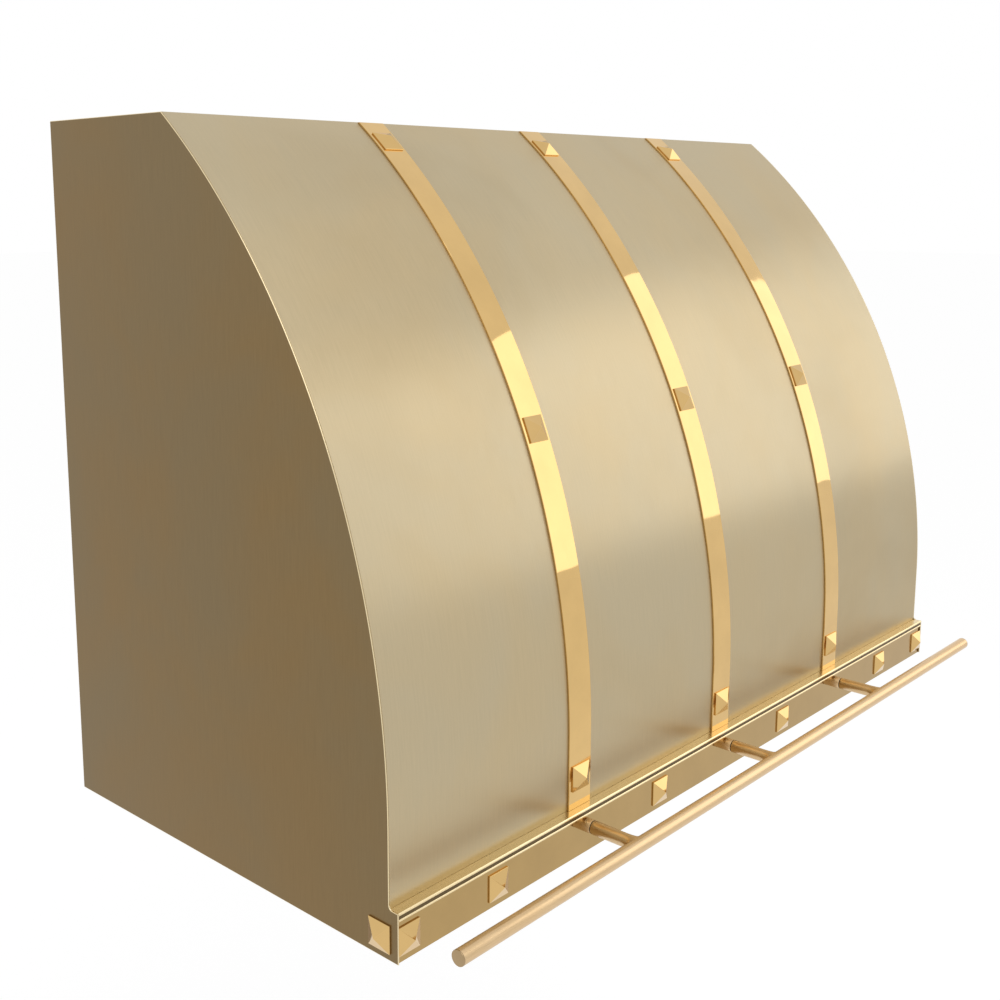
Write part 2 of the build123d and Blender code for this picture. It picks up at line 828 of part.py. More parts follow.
def baffle_channel(x, height, opens_up):
    """One U channel on the plane of the filter's cross-section."""
    base = height if opens_up else height + baffle_rim - baffle_sheet
    with Locations((x, base + baffle_sheet / 2)):
        Rectangle(baffle_width, baffle_sheet)
    for side in (-1, 1):
        with Locations((x + side * (baffle_width - baffle_sheet) / 2, height + baffle_rim / 2)):
            Rectangle(baffle_sheet, baffle_rim)


def baffle_filter():
    """Frame, two staggered rows of channels, and two lugs for the bail."""
    window = (filter_width - 2 * filter_border, filter_length - 2 * filter_border)
    with BuildPart() as body:
        with BuildSketch():
            with Locations((0, -filter_length / 2)):
                Rectangle(filter_width, filter_length)
                Rectangle(*window, mode=Mode.SUBTRACT)
        extrude(amount=filter_thickness)
        with BuildSketch(Plane.XZ.offset(filter_border - baffle_bite)):
            for k in range(baffle_count):
                x = (k - (baffle_count - 1) / 2) * baffle_pitch
                baffle_channel(x, baffle_sheet, True)
            for k in range(baffle_count - 1):
                x = (k - (baffle_count - 2) / 2) * baffle_pitch
                baffle_channel(x, filter_thickness - baffle_rim - baffle_sheet, False)
        extrude(amount=baffle_length)
        for side in (-1, 1):
            with BuildSketch(Plane.YZ.offset(side * lug_x - lug_thickness / 2)):
                with Locations((bail_y, bail_z)):
                    Circle(lug_width / 2)
                with Locations((bail_y, bail_z)):
                    Rectangle(lug_width, lug_drop + 2 * baffle_sheet, align=(Align.CENTER, Align.MIN))
                with Locations((bail_y, bail_z)):
                    Circle(bail_wire / 2 + running_gap, mode=Mode.SUBTRACT)
            extrude(amount=lug_thickness)
    return body.part


def bail_handle():
    """Bent wire that hangs from the lugs by its two outturned pins."""
    half = bail_half
    with BuildPart() as body:
        with BuildLine(Plane.XZ) as path:
            FilletPolyline(
                (bail_tip, 0),
                (half, 0),
                (half, -bail_drop),
                (-half, -bail_drop),
                (-half, 0),
                (-bail_tip, 0),
                radius=bail_bend,
            )
        with BuildSketch(Plane(origin=path.line @ 0, z_dir=path.line % 0)):
            Circle(bail_wire / 2)
        sweep()
    return body.part


one_filter = baffle_filter()
one_bail = bail_handle()
for number, x in enumerate(filter_places, start=1):
    seat = filter_plane(x)
    with BuildPart() as placed_filter:
        with Locations(seat):
            add(one_filter)
    save(placed_filter, f"baffle_filter_{number}")
    pivot = seat.from_local_coords((0, bail_y, bail_z))
    with BuildPart() as placed_bail:
        with Locations(Location(pivot)):
            add(one_bail)
    save(placed_bail, f"filter_handle_{number}")

# Ledge that carries the filters' front ends
ledge_lip_depth = filter_rear_depth + filter_length * cos(slope) - filter_border / 2
filter_ledge_top = filter_underside(ledge_lip_depth) - filter_seat_gap
with BuildPart() as filter_ledge:
    with BuildSketch(Plane.YZ):
        with BuildLine():
            lip = y_at(ledge_lip_depth)
            wall = y_at(well_front_depth)
            Polyline(
                (lip, filter_ledge_top),
                (lip, filter_ledge_top - bracket_leg),
                (wall, filter_ledge_top - bracket_leg),
                (wall, filter_ledge_top - bracket_leg + steel_sheet),
                (lip - steel_sheet, filter_ledge_top - bracket_leg + steel_sheet),
                (lip - steel_sheet, filter_ledge_top),
                close=True,
            )
        make_face()
    extrude(amount=well_half, both=True)
save(filter_ledge, "filter_ledge")

# Lamps in the liner's front strip
with BuildPart() as lamp_bezels:
    with Locations([(x, y, liner_height) for x, y in lamp_points]):
        Cylinder(lamp_bezel_diameter / 2, lamp_bezel_height, align=below)
        Cylinder(lamp_hole / 2 - hole_clearance, lamp_can_height, align=above)
    bezel_rims = lamp_bezels.edges().filter_by(GeomType.CIRCLE).group_by(Axis.Z)[0]
    chamfer(bezel_rims, lamp_bezel_height / 2)
    with Locations([(x, y, liner_height - lamp_bezel_height) for x, y in lamp_points]):
        Cylinder(
            lens_diameter / 2 + lens_gap,
            lamp_can_height + lamp_bezel_height - lamp_can_wall,
            align=above,
            mode=Mode.SUBTRACT,
        )
save(lamp_bezels, "lamp_bezels")

with BuildPart() as lamp_lenses:
    with Locations([(x, y, liner_height - lamp_bezel_height) for x, y in lamp_points]):
        Cylinder(lens_diameter / 2, lens_thickness, align=above)
save(lamp_lenses, "lamp_lenses")

# Control box above the plate, and the two knobs below it
with BuildPart() as control_box:
    with BuildSketch(Plane.XY.offset(liner_top)):
        with Locations((0, y_at(front_strip_depth))):
            Rectangle(control_width, control_length)
    extrude(amount=control_height)
    with Locations([(x, y, liner_top) for x, y in knob_points]):
        Hole(knob_stem / 2 + running_gap, depth=knob_stem_reach)
    vertical_edges = control_box.edges().filter_by(Axis.Z).group_by(SortBy.LENGTH)[-1]
    fillet(vertical_edges, steel_sheet)
save(control_box, "control_box")

knob_top = liner_height - knob_gap
for name, (x, y) in zip(("fan_knob", "light_knob"), knob_points):
    with BuildPart() as knob:
        with BuildSketch(Plane.XY.offset(knob_top)):
            with Locations((x, y)):
                Circle(knob_diameter / 2)
                with PolarLocations(knob_diameter / 2, knob_flutes):
                    Circle(knob_flute_diameter / 2, mode=Mode.SUBTRACT)
        extrude(amount=-knob_height)
        with BuildSketch(Plane.XY.offset(knob_top)):
            with Locations((x, y)):
                Circle(knob_stem / 2)
        extrude(amount=knob_gap + steel_sheet + knob_stem_end)
        with BuildSketch(Plane.XY.offset(knob_top - knob_height)):
            with Locations((x, y - knob_diameter / 4)):
                Rectangle(knob_flute_diameter / 2, knob_diameter / 3)
        extrude(amount=knob_mark_depth, mode=Mode.SUBTRACT)
    save(knob, name)


# Blower casing: a scroll of three quarter arcs about a small square of centres
def scroll_section(inset, top):
    """Scroll outline for a YZ plane, drawn inset from its outside."""
    fan_y = y_at(fan_depth)
    half = scroll_step / 2
    first = scroll_start - inset
    second = first + scroll_step
    third = second + scroll_step
    rear_y = fan_y + half + third
    cut_y = fan_y + scroll_cut + inset
    nose = fan_height + scroll_nose - inset
    with BuildSketch() as section:
        with BuildLine():
            over = CenterArc((fan_y - half, fan_height - half), first, 90, 90)
            CenterArc((fan_y + half, fan_height - half), second, 180, 90)
            under = CenterArc((fan_y + half, fan_height + half), third, 270, 90)
            Polyline(under @ 1, (rear_y, top), (cut_y, top), (cut_y, nose), over @ 0)
        make_face()
    return section.sketch


casing_top = lid_foot
rim_foot = casing_top - 2 * steel_sheet
with BuildPart() as blower_casing:
    with BuildSketch(Plane.YZ):
        add(scroll_section(0, casing_top))
    extrude(amount=outlet_half - steel_sheet, both=True)
    with BuildSketch(Plane.XY.offset(casing_top)):
        with Locations((0, outlet_y)):
            Rectangle(scroll_width + 2 * outlet_rim, outlet_length + outlet_rim)
    extrude(amount=rim_foot - casing_top)
    with BuildSketch(Plane.YZ):
        add(scroll_section(steel_sheet, casing_top + steel_sheet))
    extrude(amount=outlet_half - steel_sheet, both=True, mode=Mode.SUBTRACT)
save(blower_casing, "blower_casing")

# Side plates of the casing, each with its round inlet and a raised ring about it
with BuildPart() as blower_side_plates:
    for side in (-1, 1):
        with BuildSketch(Plane.YZ.offset(side * outlet_half)):
            add(scroll_section(0, rim_foot))
        extrude(amount=-side * steel_sheet)
        ring = end_plane(side * outlet_half, fan_depth, fan_height, side)
        with BuildSketch(ring):
            Circle(inlet_diameter / 2 + inlet_ring_width)
        extrude(amount=inlet_ring_height)
        with BuildSketch(ring.offset(-2 * steel_sheet)):
            Circle(inlet_diameter / 2)
        extrude(amount=inlet_ring_height + 2 * steel_sheet, mode=Mode.SUBTRACT)
save(blower_side_plates, "blower_side_plates")

# Squirrel-cage wheel: a disc with its hub in the middle, and an end ring on each side
wheel_plane = end_plane(0, fan_depth, fan_height, 1)
wheel_radius = wheel_diameter / 2
blade_ring_radius = wheel_radius - blade_radius * cos(radians(blade_start - 180)) + blade_sheet
with BuildPart() as impeller:
    for offset in (-wheel_width / 2, wheel_width / 2 - wheel_ring_thickness):
        with BuildSketch(wheel_plane.offset(offset)):
            Circle(wheel_radius)
            Circle(wheel_radius - wheel_ring_width, mode=Mode.SUBTRACT)
        extrude(amount=wheel_ring_thickness)
    with BuildSketch(wheel_plane):
        Circle(blade_ring_radius)
    extrude(amount=wheel_disc_thickness / 2, both=True)
    with BuildSketch(wheel_plane):
        Circle(hub_diameter / 2)
    extrude(amount=hub_width / 2, both=True)
    with BuildSketch(wheel_plane):
        Circle(shaft_diameter / 2 + running_gap)
    extrude(amount=hub_width / 2, both=True, mode=Mode.SUBTRACT)
save(impeller, "impeller")

# Cupped blades, one row on each side of the disc, that carry the end rings
with BuildSketch() as blade:
    with BuildLine():
        outer_curve = CenterArc((0, blade_radius), blade_radius, blade_start, blade_sweep)
        inner_curve = CenterArc((0, blade_radius), blade_radius - blade_sheet, blade_start, blade_sweep)
        Line(outer_curve @ 0, inner_curve @ 0)
        Line(outer_curve @ 1, inner_curve @ 1)
    make_face()
blade_foot = wheel_disc_thickness / 2
blade_length = wheel_width / 2 - wheel_ring_thickness - blade_foot
with BuildPart() as impeller_blades:
    for side in (-1, 1):
        with BuildSketch(wheel_plane.offset(side * blade_foot)):
            with PolarLocations(blade_ring_radius, blade_count):
                add(blade.sketch)
        extrude(amount=side * blade_length)
save(impeller_blades, "impeller_blades")

motor_face = wheel_plane.offset(-scroll_width / 2 - motor_offset)
shaft_end = motor_offset + scroll_width / 2 + hub_width / 2
with BuildPart() as motor_shaft:
    with BuildSketch(motor_face.offset(-motor_length / 2)):
        Circle(shaft_diameter / 2)
    extrude(amount=motor_length / 2 + shaft_end)
save(motor_shaft, "motor_shaft")

with BuildPart() as motor:
    with BuildSketch(motor_face):
        Circle(motor_diameter / 2)
    extrude(amount=-motor_length)
    fillet(motor.edges().filter_by(GeomType.CIRCLE), motor_round)
    with BuildSketch(motor_face):
        Circle(motor_boss_diameter / 2)
    extrude(amount=motor_boss_length)
    with BuildSketch(motor_face.offset(-motor_length / 2 - shaft_hole_spare)):
        Circle(shaft_diameter / 2 + running_gap)
    extrude(amount=motor_length / 2 + motor_boss_length + shaft_hole_spare, mode=Mode.SUBTRACT)
save(motor, "motor")

# Three-armed bracket between the motor's face and the casing's side
with BuildPart() as motor_bracket:
    with BuildSketch(motor_face):
        Circle(motor_diameter / 2 - motor_round)
        with PolarLocations(arm_radius / 2, arm_count, start_angle=90):
            Rectangle(arm_radius, arm_width)
        Circle(motor_boss_diameter / 2 + seat_gap, mode=Mode.SUBTRACT)
    extrude(amount=arm_thickness)
    with BuildSketch(motor_face):
        with PolarLocations(arm_radius - arm_thickness / 2, arm_count, start_angle=90):
            Rectangle(arm_thickness, arm_width)
    extrude(amount=motor_offset)
save(motor_bracket, "motor_bracket")


# Duct: a loft from the blower's rectangle to the round neck
neck_outer = duct_diameter / 2
neck_inner = neck_outer - steel_sheet


def transition_body(inset, extra):
    """Solid of the transition, drawn inset from its outside."""
    with BuildPart() as body:
        with BuildSketch(Plane.XY.offset(box_top - extra)):
            with Locations((0, outlet_y)):
                Rectangle(2 * (outlet_half - inset), outlet_length - 2 * inset)
        with BuildSketch(Plane.XY.offset(box_top + transition_height + extra)):
            with Locations((0, y_at(duct_depth))):
                Circle(neck_outer - inset)
        loft()
    return body.part


with BuildPart() as duct_transition:
    add(transition_body(0, 0))
    with BuildSketch(Plane.XY.offset(box_top)):
        with Locations((0, outlet_y)):
            Rectangle(
                scroll_width + 2 * transition_flange,
                outlet_length + transition_flange,
            )
    extrude(amount=steel_sheet)
    add(transition_body(steel_sheet, 0), mode=Mode.SUBTRACT)
save(duct_transition, "duct_transition")

collar_foot = box_top + transition_height
socket_foot = hood_height - duct_socket
rod_reach = neck_outer

# Neck that holds the damper, widened above it into the socket for the house duct
with BuildPart() as duct_collar:
    with BuildSketch(Plane.XY.offset(collar_foot)):
        with Locations((0, y_at(duct_depth))):
            Circle(neck_outer)
            Circle(neck_inner, mode=Mode.SUBTRACT)
    extrude(amount=socket_foot - collar_foot)
    with BuildSketch(Plane.XY.offset(socket_foot)):
        with Locations((0, y_at(duct_depth))):
            Circle(collar_outer)
            Circle(neck_inner, mode=Mode.SUBTRACT)
    extrude(amount=-steel_sheet)
    with BuildSketch(Plane.XY.offset(socket_foot)):
        with Locations((0, y_at(duct_depth))):
            Circle(collar_outer)
            Circle(duct_diameter / 2, mode=Mode.SUBTRACT)
    extrude(amount=duct_socket)
    with BuildSketch(Plane.XY.offset(hood_height - brass_sheet - seat_gap)):
        with Locations((0, y_at(duct_depth))):
            Circle(collar_outer + collar_flange)
            Circle(collar_outer - steel_sheet / 2, mode=Mode.SUBTRACT)
    extrude(amount=-collar_flange_sheet)
    with BuildSketch(Plane.XY.offset(damper_height - flap_sheet / 2 - stop_gap)):
        with Locations((0, y_at(duct_depth))):
            Circle(neck_inner + steel_sheet / 2)
            Circle(neck_inner - stop_width, mode=Mode.SUBTRACT)
            Rectangle(duct_diameter, knuckle_diameter + 2 * knuckle_gap, mode=Mode.SUBTRACT)
    extrude(amount=-stop_height)
    with BuildSketch(Plane.YZ.offset(-rod_reach)):
        with Locations((y_at(duct_depth), damper_height)):
            Circle(damper_rod_diameter / 2 + running_gap)
    extrude(amount=2 * rod_reach, mode=Mode.SUBTRACT)
save(duct_collar, "duct_collar")

with BuildPart() as damper_rod:
    with BuildSketch(Plane.YZ):
        with Locations((y_at(duct_depth), damper_height)):
            Circle(damper_rod_diameter / 2)
    extrude(amount=rod_reach, both=True)
save(damper_rod, "damper_rod")

# Damper flaps: two half discs whose knuckles take turns along the rod
knuckle_step = knuckle_length + knuckle_gap
front_knuckles = [-1.5 * knuckle_step, 0.5 * knuckle_step]
rear_knuckles = [-0.5 * knuckle_step, 1.5 * knuckle_step]


def damper_flap(name, toward, own, other):
    """Half disc that reaches toward -Y or +Y from the rod."""
    centre_y = y_at(duct_depth)
    flap_radius = neck_inner - flap_edge_gap
    start = knuckle_diameter / 2 + knuckle_gap
    with BuildPart() as flap:
        with BuildSketch(Plane.XY.offset(damper_height - flap_sheet / 2)):
            with Locations((0, centre_y)):
                Circle(flap_radius)
            with Locations((0, centre_y - toward * flap_radius)):
                Rectangle(2 * flap_radius, 2 * flap_radius, mode=Mode.SUBTRACT)
            for x in other:
                with Locations((x, centre_y)):
                    Rectangle(knuckle_length + 2 * knuckle_gap, 2 * start, mode=Mode.SUBTRACT)
            with Locations((0, centre_y)):
                Rectangle(4 * knuckle_step - knuckle_gap, damper_rod_diameter, mode=Mode.SUBTRACT)
            for side in (-1, 1):
                outer_x = side * (2 * knuckle_step + flap_radius)
                with Locations((outer_x, centre_y)):
                    Rectangle(2 * flap_radius, 2 * start, mode=Mode.SUBTRACT)
        extrude(amount=flap_sheet)
        for x in own:
            with BuildSketch(Plane.YZ.offset(x)):
                with Locations((centre_y, damper_height)):
                    Circle(knuckle_diameter / 2)
            extrude(amount=knuckle_length / 2, both=True)
        with BuildSketch(Plane.YZ):
            with Locations((centre_y, damper_height)):
                Circle(damper_rod_diameter / 2 + running_gap)
        extrude(amount=rod_reach, both=True, mode=Mode.SUBTRACT)
    save(flap, name)


damper_flap("damper_flap_front", -1, front_knuckles, rear_knuckles)
damper_flap("damper_flap_rear", 1, rear_knuckles, front_knuckles)

# Junction box on the back panel, and the bushing in the top panel above it
with BuildPart() as junction_box:
    with BuildSketch(Plane.XZ.offset(-y_at(back_sheet))):
        with Locations((junction_x, junction_top - junction_height / 2)):
            RectangleRounded(junction_width, junction_height, steel_sheet * 2)
    extrude(amount=junction_depth)
save(junction_box, "junction_box")

with BuildPart() as cable_bushing:
    with BuildSketch(Plane.XY.offset(hood_height - bushing_length)):
        with Locations((junction_x, y_at(bushing_depth))):
            Circle(bushing_hole / 2 - hole_clearance)
    extrude(amount=bushing_length)
    with BuildSketch(Plane.XY.offset(hood_height - brass_sheet - seat_gap)):
        with Locations((junction_x, y_at(bushing_depth))):
            Circle(bushing_flange / 2)
    extrude(amount=-bushing_flange_height)
    with Locations((junction_x, y_at(bushing_depth), hood_height)):
        Hole(bushing_bore / 2)
save(cable_bushing, "cable_bushing")
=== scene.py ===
import math

import bmesh
import bpy
from bpy.props import FloatProperty, FloatVectorProperty, PointerProperty
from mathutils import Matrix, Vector


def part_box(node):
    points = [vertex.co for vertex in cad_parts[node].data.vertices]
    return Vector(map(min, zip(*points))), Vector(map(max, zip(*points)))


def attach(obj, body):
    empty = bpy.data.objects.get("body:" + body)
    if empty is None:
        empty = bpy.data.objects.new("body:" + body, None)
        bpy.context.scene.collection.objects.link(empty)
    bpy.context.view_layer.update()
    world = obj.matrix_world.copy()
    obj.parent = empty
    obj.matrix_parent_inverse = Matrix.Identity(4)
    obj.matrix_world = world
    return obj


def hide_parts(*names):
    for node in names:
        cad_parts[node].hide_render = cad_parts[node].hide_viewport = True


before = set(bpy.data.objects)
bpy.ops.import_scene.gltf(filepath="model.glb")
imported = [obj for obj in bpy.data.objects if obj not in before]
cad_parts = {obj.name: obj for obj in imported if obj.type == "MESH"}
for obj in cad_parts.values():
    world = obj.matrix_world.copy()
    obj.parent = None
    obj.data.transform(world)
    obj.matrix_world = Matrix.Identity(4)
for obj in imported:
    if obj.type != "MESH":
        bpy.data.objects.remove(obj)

bl_info = {
    "name": "Brass range hood",
    "version": (1, 0, 0),
    "blender": (4, 5, 0),
    "location": "View3D > Sidebar > Range Hood",
    "description": "Builds the visible pieces and finishes of a barrel range hood round its packed solids",
    "category": "Object",
}

GRAIN = "grain"
PLACES = ("left", "center", "right")


# Sizes and colours

def length(name, words, default):
    """A size in metres that a user may change."""
    return FloatProperty(name=name, description=words, default=default, min=0.0, unit="LENGTH", precision=4)


def share(name, words, default):
    """A number from 0 to 1."""
    return FloatProperty(name=name, description=words, default=default, min=0.0, max=1.0, subtype="FACTOR")


def colour(name, words, default):
    """A linear colour that a user may change."""
    return FloatVectorProperty(
        name=name, description=words, default=default, min=0.0, max=1.0, size=3, subtype="COLOR"
    )


barrel_low, barrel_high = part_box("barrel_front")
panel_low, panel_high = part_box("left_side_panel")
ledge_low, ledge_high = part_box("ledge_trim")
apron_low, apron_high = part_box("apron_band")
rail_low, rail_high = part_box("pot_rail")
cap_low, cap_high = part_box("rail_end_caps")


class HoodSizes(bpy.types.PropertyGroup):
    """Sizes of the visible pieces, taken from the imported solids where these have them."""

    shell_half: length("Shell half width", "From the middle to the outside of a side panel", -panel_low.x)
    barrel_half: length("Barrel half width", "From the middle to the inside of a side panel", barrel_high.x)
    height: length("Height", "From the apron's foot to the barrel's top edge", barrel_high.z)
    shell_depth: length("Shell depth", "From the wall to the barrel's upright foot", 0.695)
    top_depth: length("Top depth", "From the wall to the barrel's top edge", 0.279)
    ledge_height: length("Ledge height", "Height of the ledge's top", ledge_high.z)
    foot_rise: length("Foot rise", "Length of the barrel's upright foot", 0.100)
    sheet: length("Sheet", "Thickness of the brass sheet", 0.002)
    cove: length("Cove", "Radius of the small cove over the ledge", 0.006)
    edge_round: length("Edge break", "Width of the broken edges of the sheets", 0.0005)
    ledge_chamfer: length("Ledge chamfer", "Width of the bright broken edge of the ledge", 0.0014)
    ledge_recess: length("Ledge recess", "Depth of the band between the ledge's two beads", 0.0008)
    ledge_bead: length("Ledge bead", "Height of each bead along the ledge's face", 0.0016)
    # The bright edges are partly rubbed wear and partly a painted highlight.
    rubbed_and_highlit_edge: length("Rubbed edge", "Width of the bright rubbed edges of the side panels", 0.0009)
    strap_width: length("Strap width", "Width of a strap", 0.050)
    strap_thickness: length("Strap thickness", "Thickness of a strap", 0.003)
    strap_gap: length("Strap gap", "Gap between a strap and the barrel", 0.0001)
    bay: length("Bay", "Distance from one strap to the next", 0.381)
    stud: length("Stud", "Side of a stud's square", 0.038)
    stud_edge: length("Stud edge", "Height of a stud's upright edge", 0.002)
    stud_height: length("Stud height", "Height of a stud", 0.012)
    stud_tip: length("Stud tip", "Side of a stud's small flat tip", 0.0008)
    stud_end: length("Stud end distance", "From a strap's end to the middle of its end stud", 0.046)
    shank: length("Stud shank", "Diameter of a stud's threaded shank", 0.005)
    rail: length("Rail diameter", "Diameter of the pot rail", rail_high.z - rail_low.z)
    cap_round: length("Cap round", "Round of the rail's end caps", 0.0012)
    post: length("Post diameter", "Diameter of a rail post", 0.020)
    spacer: length("Spacer", "Length of the ring at a post's root", 0.015)
    neck: length("Neck", "Length of the groove between ring and post", 0.0012)
    neck_diameter: length("Neck diameter", "Diameter of that groove", 0.012)
    post_edge: length("Post edge", "Width of the broken edges at the groove", 0.0002)
    flare: length("Flare", "How far a post spreads along the rail", 0.0065)


class HoodColours(bpy.types.PropertyGroup):
    """Colours and finish of the visible surfaces."""

    satin: colour("Satin brass", "Brushed brass of the barrel", (0.54, 0.445, 0.28))
    # The side brass is a darker copy of the brass: painted shade, used on the side panels and the top panel
    # and as the base of the groove colours.
    side: colour("Side brass", "Brushed brass of the side panels", (0.22, 0.152, 0.070))
    mirror: colour("Mirror brass", "Polished brass of straps and studs", (0.68, 0.455, 0.185))
    ledge: colour("Ledge brass", "Light brass of the ledge", (0.80, 0.65, 0.38))
    rail: colour("Rail brass", "Satin brass of the rail", (0.66, 0.47, 0.26))
    steel: colour("Stainless steel", "Brushed steel of liner and filters", (0.54, 0.53, 0.51))
    plated: colour("Plated steel", "Zinc plated sheet inside", (0.60, 0.62, 0.63))
    motor: colour("Motor paint", "Paint of the motor", (0.045, 0.05, 0.055))
    roughness: share("Satin roughness", "Roughness of the brushed barrel", 0.36)
    brush: share("Brush spread", "How far the brushing spreads reflections", 0.85)


# Small tools for nodes

def node(tree, kind, values=None, **settings):
    """Adds a shader node, with sockets set or linked by name or place."""
    made = tree.nodes.new("ShaderNode" + kind)
    for key, value in settings.items():
        setattr(made, key, value)
    for key, value in (values or {}).items():
        socket = made.inputs[key]
        if isinstance(value, bpy.types.NodeSocket):
            tree.links.new(value, socket)
        else:
            socket.default_value = value
    return made


def sum_of(tree, kind, first, second):
    """One arithmetic step on numbers."""
    return node(tree, "Math", {0: first, 1: second}, operation=kind).outputs[0]


def spread(tree, value, low, high, new_low=0.0, new_high=1.0, smooth=False):
    """Maps a number from one range to another, clamped."""
    kind = "SMOOTHSTEP" if smooth else "LINEAR"
    sockets = {"Value": value, "From Min": low, "From Max": high, "To Min": new_low, "To Max": new_high}
    return node(tree, "MapRange", sockets, interpolation_type=kind).outputs["Result"]


def mix(tree, factor, first, second, blend="MIX"):
    """Mixes two colours, each a socket or a linear colour."""
    made = node(tree, "Mix", data_type="RGBA", blend_type=blend)
    for socket, value in zip((made.inputs[0], made.inputs[6], made.inputs[7]), (factor, first, second)):
        if isinstance(value, bpy.types.NodeSocket):
            tree.links.new(value, socket)
        else:
            socket.default_value = (*value, 1.0) if hasattr(value, "__len__") else value
    return made.outputs[2]


def noise(tree, vector, scale, detail=3.0, roughness=0.5, distortion=0.0):
    """Fractal noise in one number."""
    sockets = {
        "Vector": vector, "Scale": scale, "Detail": detail, "Roughness": roughness, "Distortion": distortion
    }
    return node(tree, "TexNoise", sockets).outputs["Fac"]


def stretched(tree, vector, scale):
    """The same place, scaled by axis."""
    return node(tree, "Mapping", {"Vector": vector, "Scale": scale}, vector_type="POINT").outputs["Vector"]


def grain_place(tree):
    """Place on a piece's surface in metres: x across the grain and y along it."""
    return node(tree, "UVMap", uv_map=GRAIN).outputs["UV"]


def object_place(tree):
    """Place in the object's own frame, in metres."""
    return node(tree, "TexCoord").outputs["Object"]


def bumped(tree, height, distance, strength=1.0):
    """Bump of this height in metres."""
    sockets = {"Height": height, "Distance": distance, "Strength": strength}
    return node(tree, "Bump", sockets).outputs["Normal"]


def tinted(rgb, factor):
    """A colour made lighter or darker."""
    return tuple(min(1.0, value * factor) for value in rgb)


def finish_named(name, **sockets):
    """A new material with one main shader whose constant sockets are set here."""
    material = bpy.data.materials.new(name)
    material.use_nodes = True
    tree = material.node_tree
    tree.nodes.clear()
    shader = node(tree, "BsdfPrincipled")
    for key, value in sockets.items():
        shader.inputs[key.replace("_", " ")].default_value = value
    tree.links.new(shader.outputs["BSDF"], node(tree, "OutputMaterial").inputs["Surface"])
    return material, tree, shader


def feed(tree, shader, **links):
    """Links textures to the main shader's sockets."""
    for key, socket in links.items():
        tree.links.new(socket, shader.inputs[key.replace("_", " ")])


# Finishes

def brushed_brass(name, rgb, roughness, spread_share, streak=0.05, cloud=0.05, tint=None):
    """Satin brass, brushed along the grain, with soft clouds and fine streaks."""
    material, tree, shader = finish_named(name, Metallic=1.0, Anisotropic=spread_share)
    place = grain_place(tree)
    coarse = noise(tree, stretched(tree, place, (420.0, 14.0, 1.0)), 1.0, 4.0, 0.6)
    fine = noise(tree, stretched(tree, place, (1400.0, 42.0, 1.0)), 1.0, 3.0, 0.6)
    wide, thin = sum_of(tree, "MULTIPLY", coarse, 0.55), sum_of(tree, "MULTIPLY", fine, 0.45)
    streaks = sum_of(tree, "ADD", wide, thin)
    clouds = noise(tree, object_place(tree), 3.2, 3.0, 0.55, 0.6)
    tone = mix(tree, spread(tree, streaks, 0.36, 0.64), tinted(rgb, 1 - streak), tinted(rgb, 1 + streak))
    warm = (rgb[0] * (1 + cloud), rgb[1] * (1 - cloud * 0.3), rgb[2] * (1 - 2.2 * cloud))
    cool = (rgb[0] * (1 - cloud), rgb[1], min(1.0, rgb[2] * (1 + 2.2 * cloud)))
    cloudy = mix(tree, spread(tree, clouds, 0.3, 0.7, smooth=True), cool, warm)
    base = mix(tree, 0.35, tone, cloudy)
    if tint is not None:
        base = tint(tree, base)
    rough = spread(tree, streaks, 0.36, 0.64, roughness - 0.05, roughness + 0.05)
    relief = bumped(tree, streaks, 0.00005, 0.6)
    tangent = node(tree, "Tangent", direction_type="UV_MAP", uv_map=GRAIN).outputs["Tangent"]
    feed(tree, shader, Base_Color=base, Roughness=rough, Normal=relief, Tangent=tangent)
    return material


def mirror_brass(name, rgb, roughness=0.035, wave=0.0012, wave_scale=9.0):
    """Polished brass: a mirror with slow ripples, a faint haze and hairline scratches."""
    material, tree, shader = finish_named(name, Metallic=1.0)
    place = object_place(tree)
    haze = noise(tree, place, 14.0, 4.0, 0.6)
    scratch = noise(tree, stretched(tree, place, (900.0, 60.0, 60.0)), 1.0, 2.0, 0.5)
    base = mix(tree, spread(tree, haze, 0.3, 0.7), tinted(rgb, 0.95), tinted(rgb, 1.04))
    lines = spread(tree, scratch, 0.62, 0.8, 0.0, 0.05)
    cloud = spread(tree, haze, 0.35, 0.75, roughness * 0.8, roughness * 1.5)
    ripple = noise(tree, place, wave_scale, 1.0, 0.4)
    relief = bumped(tree, ripple, wave, 1.0)
    feed(tree, shader, Base_Color=base, Roughness=sum_of(tree, "ADD", cloud, lines), Normal=relief)
    return material


def solid_brass(name, rgb, axis):
    """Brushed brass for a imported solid, brushed along X (0), Y (1) or Z (2)."""
    material, tree, shader = finish_named(name, Metallic=1.0, Anisotropic=0.3)
    scale = [600.0, 600.0, 600.0]
    scale[axis] = 5.0
    place = object_place(tree)
    streaks = noise(tree, stretched(tree, place, scale), 1.0, 4.0, 0.6)
    clouds = noise(tree, place, 5.0, 3.0, 0.6)
    tone = mix(tree, spread(tree, streaks, 0.25, 0.75), tinted(rgb, 0.93), tinted(rgb, 1.06))
    aged = (rgb[0] * 0.8, rgb[1] * 0.75, rgb[2] * 0.62)
    base = mix(tree, spread(tree, clouds, 0.35, 0.8, 0.0, 0.4), tone, aged)
    rough = spread(tree, streaks, 0.2, 0.8, 0.28, 0.40)
    feed(tree, shader, Base_Color=base, Roughness=rough, Normal=bumped(tree, streaks, 0.00003, 0.5))
    return material


